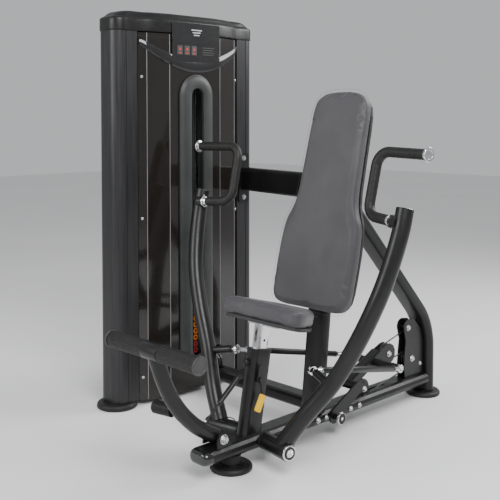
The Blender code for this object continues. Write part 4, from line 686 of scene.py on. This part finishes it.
def build_stack():
    groups = (("resting", 0, 9, "frame", ["resting_weight_plates"]),
              ("lifted", 9, 13, "stack", ["lifted_weight_plates"]))
    for name, first, last, body, replaced in groups:
        bm = bmesh.new()
        for i in range(first, last):
            weight_plate(bm, STACK_BOTTOM + i * PITCH)
        emit(name + "_plates", bm, IRON, body, replaced, angle=30)
        bm = bmesh.new()
        for i in range(first, last):
            centre = (STACK_X + 0.0501, TOWER_MID + 0.044, STACK_BOTTOM + i * PITCH + 0.0139)
            before = set(bm.faces)
            lathe(bm, [(0.0062, 0.0), (0.0128, 0.0), (0.0128, 0.0006), (0.0062, 0.0006)], centre, X, 32,
                  ring=True)
            outline = rounded_rectangle(0.034, 0.010, 0.003, 4, TOWER_MID - 0.030, centre[2])
            side_slab(bm, outline, centre[0], 0.0005)
            tone = 0 if i > 6 else 1 if i > 1 else 2
            for face in set(bm.faces) - before:
                face.material_index = tone
        emit(name + "_plate_rings", bm, [GREEN_MARK, ORANGE_MARK, RED_MARK], body)
    bm = bmesh.new()
    z = STACK_BOTTOM + 9 * PITCH + 0.01415
    profile = [(0, 0), (0.005, 0.0008), (0.005, 0.033), (0.0115, 0.0335), (0.0140, 0.036), (0.0150, 0.040),
               (0.0142, 0.046), (0.0142, 0.050), (0.0150, 0.054), (0.0148, 0.058), (0.0125, 0.0615),
               (0, 0.062)]
    lathe(bm, profile, (STACK_X + 0.018, TOWER_MID, z), X, 40)
    emit("selector_pin_knob", bm, CAP, "selector", ["selector_pin"], angle=50)


# ---- arms ----
ARM_PIVOT = Vector((0.0, 0.115, 0.090))
LINK_ROOT, LINK_END, STUD_TIP = (0.318, 0.168, 0.322), (0.214, 0.203, 0.342), (0.182, 0.212, 0.347)
ROD_FRONT, ROD_REAR = (0.193, 0.209, 0.345), (0.145, 0.794, 0.219)
ARM_ROUTE = ((0.160, 0.094, 0.104), (0.226, 0.119, 0.203), (0.319, 0.174, 0.340), (0.393, 0.201, 0.475),
             (0.449, 0.227, 0.606), (0.481, 0.256, 0.719), (0.501, 0.290, 0.842), (0.504, 0.314, 0.928))
HANDLE_ROUTE = ((0.4655, 0.2885, 0.8862), (0.3430, 0.3220, 0.8930), (0.3500, 0.3740, 1.1120),
                (0.5740, 0.3490, 1.1070))


def arm_axis(side):
    toe = math.radians(10)
    return Vector((math.cos(toe) * side, -math.sin(toe), 0))


def build_arm(name, side):
    body = "arm_" + name
    axis = arm_axis(side)
    route = smooth_route([mirrored(p, side) for p in ARM_ROUTE], 10)
    last = (route[-1] - route[-2]).normalized()
    bm = bmesh.new()
    tube(bm, route, circle(0.030, 40), Y)
    turned(bm, [(0.0136, 0.0610), (0.0300, 0.0610), (0.0300, 0.2030), (0.0136, 0.2030)], 0.001,
           ARM_PIVOT, axis, 56, ring=True)
    start, end = mirrored(LINK_ROOT, side), mirrored(LINK_END, side)
    reach = (end - start).length
    turned(bm, [(0, 0), (0.015, 0), (0.015, reach), (0, reach)], 0.0015, start, end - start, 32)
    outward = (Vector(HANDLE_ROUTE[0]) - Vector(HANDLE_ROUTE[1])).normalized()
    start = Vector(HANDLE_ROUTE[0]) + outward * 0.0005
    turned(bm, [(0, 0), (0.020, 0), (0.020, 0.034), (0, 0.034)], 0.0015, mirrored(start, side),
           mirrored(outward, side), 40)
    emit(f"press_arm_{name}_tube", bm, POWDER, body, ["press_arm_" + name])
    bm = bmesh.new()
    turned(bm, [(0, -0.0030), (0.0292, -0.0030), (0.0300, -0.0005), (0.0292, 0.0006), (0, 0.0012)],
           0.0008, route[-1], last, 56)
    turned(bm, [(0.0205, -0.0010), (0.0235, -0.0010), (0.0235, 0.0045), (0.0205, 0.0045)], 0.0008,
           mirrored(start + outward * 0.0005, side), mirrored(outward, side), 48, ring=True)
    emit(f"arm_{name}_chrome_trim", bm, CHROME, body)
    bm = bmesh.new()
    stud, tip = mirrored(LINK_END, side), mirrored(STUD_TIP, side)
    reach = (tip - stud).length
    turned(bm, [(0, -0.004), (0.0060, -0.004), (0.0060, reach), (0, reach)], 0.0008, stud,
           tip - stud, 28)
    hex_bolt(bm, tip - (tip - stud).normalized() * 0.0015, tip - stud, 0.0062)
    emit(f"arm_{name}_link_stud", bm, ZINC, body, angle=25)
    bm = bmesh.new()
    turns = [t / 12 * math.pi for t in range(24)]
    weld_bead(bm, [ARM_PIVOT + axis * 0.128 + axis * (0.034 * math.cos(t))
                   + Vector((0, 0, 0.0292)) * (0.55 + 0.45 * abs(math.sin(t)))
                   + Y * 0.0300 * (0.8 * math.sin(t)) for t in turns], 0.0020)
    emit(f"arm_{name}_weld", bm, POWDER, body)
    bm = bmesh.new()
    face = 0.2033
    profile = [(0, face), (0.0275, face), (0.0275, face + 0.0045), (0.0262, face + 0.0065),
               (0.0235, face + 0.0075), (0.0225, face + 0.0068), (0.0215, face + 0.0068), (0, face + 0.0072)]
    turned(bm, profile, 0.0006, ARM_PIVOT, axis, 64)
    hex_bolt(bm, ARM_PIVOT + axis * (face + 0.0072), axis, 0.0085)
    emit(f"arm_cap_{name}_bearing", bm, CHROME, body, ["arm_cap_" + name], angle=30)
    bm = bmesh.new()
    turned(bm, [(0.0150, face + 0.0060), (0.0215, face + 0.0060), (0.0215, face + 0.0084),
                (0.0150, face + 0.0084)], 0.0006, ARM_PIVOT, axis, 48, ring=True)
    turned(bm, [(0.0302, 0.0645), (0.0312, 0.0650), (0.0312, 0.0690), (0.0302, 0.0695)], 0.0004,
           ARM_PIVOT, axis, 56, ring=True)
    emit(f"arm_cap_{name}_seal", bm, CAP, body)


def build_handle(name, side):
    body = "arm_" + name
    route = rounded_route([mirrored(p, side) for p in HANDLE_ROUTE], 0.050, 18)
    first, last = (route[1] - route[0]).normalized(), (route[-1] - route[-2]).normalized()
    begin, end = route[0], route[-1]
    guide = Vector((0.3, 1, 0.2)).normalized()
    bm = bmesh.new()
    turned(bm, [(0, 0), (0.0182, 0), (0.0185, 0.001), (0.0185, 0.0095), (0.0175, 0.0108), (0, 0.0108)],
           0.0008, begin, first, 48)
    profile = [(0, -0.0162), (0.0180, -0.0160), (0.0180, -0.0098), (0.0240, -0.0090), (0.0250, -0.0070),
               (0.0250, -0.0020), (0.0238, -0.0005), (0.0150, 0.0), (0.0145, -0.0008), (0, -0.0008)]
    turned(bm, profile, 0.0008, end, last, 56)
    emit(f"handle_{name}_chrome", bm, CHROME, body, ["handle_bar_" + name])
    grip = [begin + first * 0.0110]
    points = [grip[0]] + route[1:-1] + [end - last * 0.0161]
    for a, b in zip(points, points[1:]):
        count = max(1, int((b - a).length / 0.006))
        grip += [a.lerp(b, i / count) for i in range(1, count + 1)]
    scales = [1.0 + 0.012 * math.sin(i * 1.7) for i in range(len(grip))]
    scales[0] = scales[-1] = 0.93
    bm = bmesh.new()
    tube(bm, grip, circle(0.0185, 36), guide, scales=scales)
    emit(f"handle_{name}_grip", bm, RUBBER, body, ["handle_grip_" + name], angle=50)


def build_tie_rod(name, side):
    """Black powder-coated rod with chrome threaded ends, lock nuts and a ball joint at each end."""
    front, rear = mirrored(ROD_FRONT, side), mirrored(ROD_REAR, side)
    along, length = (rear - front).normalized(), (rear - front).length
    stud = (mirrored(STUD_TIP, side) - mirrored((0.230, 0.1985, 0.340), side)).normalized()
    bm = bmesh.new()
    profile = [(0, 0.0500), (0.0095, 0.0505), (0.0118, 0.0530), (0.0118, length - 0.053),
               (0.0095, length - 0.0505), (0, length - 0.0500)]
    lathe(bm, profile, front, along, 32)
    emit(f"tie_rod_{name}_bar", bm, POWDER, "rod_" + name, ["tie_rod_" + name], angle=50)
    bm = bmesh.new()
    for origin, heading in ((front, along), (rear, -along)):
        profile = [(0, 0.012), (0.0075, 0.013)]
        for i in range(15):
            profile += [(0.0078, 0.016 + i * 0.0022), (0.0068, 0.0171 + i * 0.0022)]
        lathe(bm, profile + [(0, 0.0502)], origin, heading, 24)
    turned(bm, [(0.0086, -0.007), (0.0165, -0.0055), (0.0165, 0.0055), (0.0086, 0.007)], 0.001,
           front, stud, 40, ring=True)
    turned(bm, [(0.0060, -0.0062), (0.0165, -0.0050), (0.0165, 0.0050), (0.0060, 0.0062)], 0.001,
           rear, (side, 0, 0), 40, ring=True)
    emit(f"tie_rod_{name}_ends", bm, CHROME, "rod_" + name, angle=35)
    bm = bmesh.new()
    for spot, heading in ((front + along * 0.046, along), (rear - along * 0.046, -along)):
        hex_bolt(bm, spot, heading, 0.0110, washer=False)
    hex_bolt(bm, rear + Vector((side * 0.006, 0, 0)), (side, 0, 0), 0.0068)
    emit(f"tie_rod_{name}_nuts", bm, ZINC, "rod_" + name, angle=25)


# ---- pedal ----
ROLLER_AXIS = Vector((0.0, -0.340, 0.480))
STUB_ORIGIN, STUB_AXIS = (0, -0.222, 0.252), (-0.98, -0.20, 0)
PEDAL_ROUTE = ((0, -0.074, 0.134), (0, -0.155, 0.186), (0, -0.212, 0.238), (0, -0.251, 0.286),
               (0, -0.278, 0.330), (0, -0.306, 0.391), (0, -0.334, 0.467))


def build_pedal():
    bm = bmesh.new()
    tube(bm, smooth_route(PEDAL_ROUTE, 8), circle(0.026, 40), X)
    turned(bm, [(0, -0.042), (0.0285, -0.042), (0.0285, 0.042), (0, 0.042)], 0.002, ROLLER_AXIS, X, 56)
    turned(bm, [(0.0092, -0.033), (0.0200, -0.033), (0.0200, 0.033), (0.0092, 0.033)], 0.001,
           (0, -0.070, 0.132), X, 48, ring=True)
    emit("pedal_tube", bm, POWDER, "pedal", ["pedal_arm"])
    bm = bmesh.new()
    turned(bm, [(0, 0.020), (0.0120, 0.020), (0.0120, 0.050), (0, 0.050)], 0.001, STUB_ORIGIN, STUB_AXIS, 32)
    profile = [(0.0120, 0.0400)]
    for i in range(9):
        profile += [(radius, height + i * 0.0084) for radius, height in (
            (0.0230, 0.0405), (0.0230, 0.0470), (0.0218, 0.0480), (0.0218, 0.0484))]
    profile += [(0.0225, 0.1165), (0.0190, 0.1207), (0, 0.1210)]
    lathe(bm, profile, STUB_ORIGIN, STUB_AXIS, 40)
    emit("pedal_stub_sleeve", bm, RUBBER, "pedal")
    for name, side in SIDES:
        bm = bmesh.new()
        ribs = 22
        rings = []
        levels = [(0.0423, 0.930), (0.0430, 0.975), (0.0450, 1.0)]
        levels += [(0.045 + 0.1760 * i / 12, 1.0) for i in range(1, 12)] + [(0.2210, 1.0), (0.2225, 0.98)]
        for x, scale in levels:
            ring = []
            for j in range(ribs * 6):
                radius = (0.0285, 0.0283, 0.0274, 0.0266, 0.0266, 0.0276)[j % 6] * scale
                angle = 2 * math.pi * j / (ribs * 6)
                ring.append(bm.verts.new(ROLLER_AXIS + Vector((side * x, radius * math.cos(angle),
                                                               radius * math.sin(angle)))))
            rings.append(ring)
        skin(bm, rings)
        emit(f"pedal_roller_{name}_sleeve", bm, RUBBER, "pedal", ["pedal_roller_" + name], angle=50)
        bm = bmesh.new()
        profile = [(0, 0.2225), (0.0285, 0.2225), (0.0300, 0.2240), (0.0300, 0.2270), (0.0290, 0.2295),
                   (0.0255, 0.2310), (0.0235, 0.2300), (0.0225, 0.2288), (0, 0.2285)]
        turned(bm, profile, 0.0006, ROLLER_AXIS, (side, 0, 0), 56)
        emit(f"pedal_roller_{name}_disc", bm, GREY_END, "pedal")


# ---- upholstery ----
BACK_HALF = [(0.110, 0.0), (0.150, 0.005), (0.178, 0.018), (0.194, 0.042), (0.201, 0.080), (0.203, 0.150),
             (0.203, 0.230), (0.199, 0.300), (0.190, 0.350), (0.174, 0.386), (0.161, 0.424), (0.154, 0.480),
             (0.151, 0.590), (0.148, 0.735), (0.144, 0.790), (0.134, 0.828), (0.114, 0.852), (0.078, 0.870),
             (0.034, 0.876)]
SEAT_HALF = [(0.130, 0.0), (0.172, 0.005), (0.192, 0.020), (0.198, 0.045), (0.188, 0.085), (0.160, 0.140),
             (0.134, 0.185), (0.114, 0.212), (0.090, 0.232), (0.050, 0.240)]


def closed_outline(half, steps=5):
    """A smooth closed outline from its right half."""
    curve = [(p.x, p.y) for p in smooth_route([(u, v, 0) for u, v in half], steps)]
    return curve + [(-u, v) for u, v in reversed(curve)]


def inset(outline, amount):
    count = len(outline)
    moved = []
    for i, (u, v) in enumerate(outline):
        du = outline[(i + 1) % count][0] - outline[i - 1][0]
        dv = outline[(i + 1) % count][1] - outline[i - 1][1]
        length = math.hypot(du, dv)
        moved.append((u - dv / length * amount, v + du / length * amount))
    return moved


def edge_distance(points, outline):
    """Distance of each (u, v) row to the closed outline."""
    best = np.full(len(points), 1e9)
    for (u0, v0), (u1, v1) in zip(outline, outline[1:] + outline[:1]):
        start, span = np.array((u0, v0)), np.array((u1 - u0, v1 - v0))
        t = np.clip(((points - start) @ span) / max(span @ span, 1e-12), 0, 1)
        best = np.minimum(best, np.linalg.norm(points - start - t[:, None] * span, axis=1))
    return best


def apply_modifiers(piece):
    bpy.context.view_layer.objects.active = piece
    for modifier in list(piece.modifiers):
        bpy.ops.object.modifier_apply(modifier=modifier.name)


def coordinates(mesh):
    flat = np.empty(len(mesh.vertices) * 3)
    mesh.vertices.foreach_get("co", flat)
    return flat.reshape(-1, 3)


def swell(piece, cap):
    """Blow the closed cover up with Cloth pressure and cap how far each point may go."""
    start = coordinates(piece.data).copy()
    cloth = piece.modifiers.new("cover", "CLOTH")
    cloth.settings.use_pressure = True
    cloth.settings.uniform_pressure_force = 4.0
    cloth.settings.effector_weights.gravity = 0.0
    cloth.settings.quality = 5
    scene = bpy.context.scene
    for number in range(1, 21):
        scene.frame_set(number)
    apply_modifiers(piece)
    scene.frame_set(1)
    moved = coordinates(piece.data)
    travel = moved - start
    length = np.linalg.norm(travel, axis=1)
    travel *= (np.minimum(length, cap) / np.maximum(length, 1e-9))[:, None]
    piece.data.vertices.foreach_set("co", (start + travel).ravel())


def cushion(name, half, thickness, matrix, front_is_high, node, body):
    """A stuffed cover in its own (u, v, w) space; w runs through the thickness."""
    outline = closed_outline(half)
    bm = bmesh.new()
    rings = []
    margin, edge = 0.0050, 0.013
    for level, draw in ((0.0, edge), (0.15, edge * 0.45), (0.45, edge * 0.1), (1.0, 0.0)):
        shape = inset(outline, margin + draw)
        rings.append([bm.verts.new((u, v, 0.0035 + edge * level)) for u, v in shape])
    for level, draw in ((1.0, 0.0), (0.45, edge * 0.1), (0.15, edge * 0.45), (0.0, edge)):
        shape = inset(outline, margin + draw)
        rings.append([bm.verts.new((u, v, thickness - 0.0035 - edge * level)) for u, v in shape])
    skin(bm, rings)
    bmesh.ops.recalc_face_normals(bm, faces=bm.faces)
    mesh = bpy.data.meshes.new(name)
    bm.to_mesh(mesh)
    bm.free()
    piece = bpy.data.objects.new(name, mesh)
    bpy.context.scene.collection.objects.link(piece)
    remesh = piece.modifiers.new("even", "REMESH")
    remesh.mode, remesh.voxel_size = "VOXEL", 0.005
    apply_modifiers(piece)
    swell(piece, 0.0085)
    piece.modifiers.new("smooth", "SUBSURF").levels = 1
    apply_modifiers(piece)
    spots = coordinates(piece.data)
    rim = edge_distance(spots[:, :2], outline)
    depth = spots[:, 2] if not front_is_high else thickness - spots[:, 2]
    side_share = np.clip(1.0 - (rim - 0.004) / 0.012, 0, 1)
    middle = np.array((0.0, half[len(half) // 2][1]))
    inward = middle - spots[:, :2]
    inward /= np.maximum(np.linalg.norm(inward, axis=1), 1e-6)[:, None]
    for seam, amount in ((0.0115, 0.0017), (thickness - 0.0085, 0.0013)):
        pull = amount * np.exp(-((depth - seam) / 0.0020) ** 2) * side_share
        ripple = 1.0 + 0.35 * np.sin(spots[:, 0] * 240 + spots[:, 1] * 190)
        spots[:, :2] += inward * (pull * ripple)[:, None]
    spots[:, 2] = np.clip(spots[:, 2], 0.0002, thickness + 0.004) if front_is_high else np.clip(
        spots[:, 2], -0.004, thickness - 0.0002)
    piece.data.vertices.foreach_set("co", spots.ravel())
    piece.data.transform(matrix)
    piece.data.materials.clear()
    piece.data.materials.append(VINYL)
    piece.data.shade_smooth()
    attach(piece, body)
    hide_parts(node)
    stitches(name + "_stitching", outline, thickness, matrix, front_is_high, body)


def stitches(name, outline, thickness, matrix, front_is_high, body):
    """A line of thread just behind the front seam, all the way round."""
    loop = inset(outline, 0.0010)
    bm = bmesh.new()
    depth = 0.0150
    level = thickness - depth if front_is_high else depth
    carried = 0.0
    for (u0, v0), (u1, v1) in zip(loop, loop[1:] + loop[:1]):
        length = math.hypot(u1 - u0, v1 - v0)
        spot = -carried % 0.0065
        while spot < length:
            t = spot / length
            centre = Vector((u0 + (u1 - u0) * t, v0 + (v1 - v0) * t, level))
            along = Vector(((u1 - u0) / length, (v1 - v0) / length, 0))
            tube(bm, [centre - along * 0.0021, centre - along * 0.0014, centre + along * 0.0014,
                      centre + along * 0.0021], circle(0.0006, 6), Z, scales=[0.4, 1.0, 1.0, 0.4])
            spot += 0.0065
        carried += length
    bmesh.ops.transform(bm, matrix=matrix, verts=bm.verts)
    emit(name, bm, THREAD, body)


def local_frame(origin, across, up):
    across, up = Vector(across).normalized(), Vector(up).normalized()
    normal = across.cross(up)
    rotation = Matrix((across, up, normal)).transposed().to_4x4()
    return Matrix.Translation(origin) @ rotation


def build_upholstery():
    back = local_frame(BACK_BASE - BACK_UP * 0.030, (-1, 0, 0), BACK_UP)
    cushion("back_cushion_cover", BACK_HALF, 0.050, back, False, "back_cushion", "frame")
    tilt = math.radians(14)
    rearward = Vector((0, math.cos(tilt), -math.sin(tilt)))
    normal = Vector((0, math.sin(tilt), math.cos(tilt)))
    seat = local_frame(Vector((0, 0.122, 0.569)) - normal * 0.060, X, rearward)
    cushion("seat_cushion_cover", SEAT_HALF, 0.060, seat, True, "seat_cushion", "seat")


# ---- cables ----
def belt_route(wheels):
    """Path round wheels given as (centre, radius, turn) in the (y, z) plane; turn +1 is counter-clockwise."""
    contacts = []
    for (c0, r0, s0), (c1, r1, s1) in zip(wheels, wheels[1:]):
        reach = c1 - c0
        heading = math.atan2(reach.y, reach.x) - math.asin((s1 * r1 - s0 * r0) / reach.length)
        left = Vector((-math.sin(heading), math.cos(heading)))
        contacts.append((c0 - s0 * r0 * left, c1 - s1 * r1 * left))
    route = []
    for i in range(1, len(wheels) - 1):
        centre, radius, turn = wheels[i]
        arrive, leave = contacts[i - 1][1], contacts[i][0]
        start = math.atan2(*reversed(arrive - centre))
        swept = (math.atan2(*reversed(leave - centre)) - start) * turn % (2 * math.pi)
        route += [centre + radius * Vector((math.cos(a), math.sin(a)))
                  for a in (start + turn * swept * k / 24 for k in range(25))]
        route += [leave.lerp(contacts[i][1], k / 24) for k in range(1, 25)]
    return contacts[0][0], route


def build_cables():
    wheels = [(Vector(LOW_PULLEY), 0.0385, 1), (Vector(REAR_PULLEY), 0.0400, 1),
              (Vector(ROCKER_PULLEY), 0.0400, -1), (Vector(CABLE_ANCHOR), 0.0120, 1)]
    first, route = belt_route(wheels)
    bm = bmesh.new()
    lower = [Vector((0, 0.7255, CABLE_Z)), Vector((0, first.x, first.y))]
    lower += [Vector((0, *p)) for p in route[:25]]
    tube(bm, lower, circle(CABLE_RADIUS, 14), X)
    emit("press_cable_lower", bm, CABLE, "frame")
    bm = bmesh.new()
    tube(bm, [Vector((0, *p)) for p in route[24:]], circle(CABLE_RADIUS, 14), X)
    piece = emit("press_cable_upper", bm, CABLE, None, ["press_cable"])
    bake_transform(piece)
    bm = bmesh.new()
    low, high, lift = 0.5993, 1.4615, 0.466
    tube(bm, [Vector((STACK_X, TOWER_MID, z)) for z in (low, high)], circle(CABLE_RADIUS, 14), X)
    piece = emit("stack_cable_run", bm, CABLE, "stack", ["stack_cable"])
    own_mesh(piece)


# ---- carried-over CAD nodes ----
def paint_nodes():
    groups = ((POWDER, "base_spine cross_tube upper_tie_bar low_pulley_bracket rear_pulley_bracket "
                       "pedal_bracket tower_base_beam stack_head release_lever rocker_arm strut_cylinder"),
              (BEAM_AND_HIGHLIGHT, "tower_top_beam"),
              (CHROME, "guide_rod_front guide_rod_rear seat_inner_post"),
              (CAP, "strut_rod"),
              (GLOSS, "back_panel"),
              (PANEL, "front_panel"),
              (BOARD, "backboard seat_board"),
              (YELLOW, "lever_grip"),
              (CABLE, "tower_cable"),
              (NYLON, "rocker_pulley rear_pulley low_pulley top_pulley base_pulley"))
    for material, names in groups:
        for name in names.split():
            mesh = NODES[name].data
            mesh.materials.clear()
            mesh.materials.append(material)


def build_small_parts():
    bm = bmesh.new()
    turned(bm, [(0, 0.0900), (0.0245, 0.0900), (0.0245, 0.0955), (0.0215, 0.0985), (0, 0.0992)], 0.001,
           (0, 0.488, 0.079), X, 56)
    emit("rocker_pivot_cap", bm, CHROME, "frame")
    bm = bmesh.new()
    for x in (0.0192, -0.0192):
        hex_bolt(bm, (x, *ROCKER_PULLEY), (x, 0, 0), 0.0080)
    emit("rocker_bolts", bm, ZINC, "rocker", angle=25)
    # Thin dark discs on both sides of the seat post: painted shade standing in for the dark insides of its
    # adjustment holes.
    bm = bmesh.new()
    for i in range(5):
        centre = SLEEVE_TOP + SEAT_LEAN * (-0.150 + i * 0.045)
        for sign in (-1, 1):
            lathe(bm, [(0, 0), (0.0045, 0), (0.0052, 0.0003), (0.0052, 0.0006), (0, 0.0006)],
                  centre + X * sign * 0.0188, (sign, 0, 0), 20)
    emit("seat_post_hole_shade", bm, CAP, "seat")
    bm = bmesh.new()
    strut_top, strut_foot = Vector((0, 0.036, 0.318)), Vector((0, -0.118, 0.196))
    along = (strut_foot - strut_top).normalized()
    turned(bm, [(0, -0.010), (0.0095, -0.010), (0.0095, 0.010), (0, 0.010)], 0.001, strut_top, X, 28)
    turned(bm, [(0.0045, 0.112), (0.0098, 0.112), (0.0098, 0.1195), (0.0045, 0.1200)], 0.0008,
           strut_top, along, 32, ring=True)
    emit("strut_top_eye", bm, CAP, "strut_outer")


# ---- stage ----
def area_light(name, location, target, size, power, colour=(1, 1, 1)):
    data = bpy.data.lights.new(name, "AREA")
    data.shape, data.size, data.energy, data.color = "SQUARE", size, power, colour
    lamp = bpy.data.objects.new(name, data)
    lamp.location = location
    lamp.rotation_euler = (Vector(target) - Vector(location)).to_track_quat("-Z", "Y").to_euler()
    bpy.context.scene.collection.objects.link(lamp)


def build_stage():
    bm = bmesh.new()
    slab(bm, [(-14, -14), (14, -14), (14, 14), (-14, 14)], (0, 0, -0.012), X, Y, 0.012)
    finish = Finish("floor_pale")
    finish.colours(finish.noise(0.8, 3), (0.80, 0.80, 0.80), (0.83, 0.83, 0.83))
    finish.rough(finish.noise(3.0, 3), 0.55, 0.70)
    mesh = bpy.data.meshes.new("floor")
    bmesh.ops.recalc_face_normals(bm, faces=bm.faces)
    bm.to_mesh(mesh)
    bm.free()
    mesh.materials.append(finish.material)
    floor = bpy.data.objects.new("floor", mesh)
    bpy.context.scene.collection.objects.link(floor)
    world = bpy.data.worlds.new("studio")
    world.use_nodes = True
    background = world.node_tree.nodes["Background"]
    background.inputs["Color"].default_value = (0.92, 0.93, 0.95, 1)
    background.inputs["Strength"].default_value = 0.58
    bpy.context.scene.world = world
    area_light("key", (2.6, -1.2, 3.4), (0, 0.3, 0.7), 2.0, 165)
    area_light("front", (-1.2, -3.4, 2.2), (-0.2, 0.3, 0.7), 2.0, 85)
    area_light("rim", (0.8, 3.2, 2.8), (-0.1, 0.4, 0.8), 2.0, 110)
    data = bpy.data.cameras.new("camera")
    data.lens, data.sensor_width = 61.34, 36.0
    data.shift_y = -0.195
    camera = bpy.data.objects.new("camera", data)
    camera.location = (2.1464, -2.0049, 1.2304)
    camera.rotation_euler = (math.radians(87.61), 0, math.radians(45.67))
    bpy.context.scene.collection.objects.link(camera)
    bpy.context.scene.camera = camera


build_posts()
build_spine_ends()
build_bolts()
build_columns()
build_cap()
build_slot()
build_liner()
build_sign()
build_stack()
for side_name, side_sign in SIDES:
    build_arm(side_name, side_sign)
    build_handle(side_name, side_sign)
    build_tie_rod(side_name, side_sign)
build_pedal()
build_upholstery()
build_cables()
build_small_parts()
paint_nodes()
build_stage()
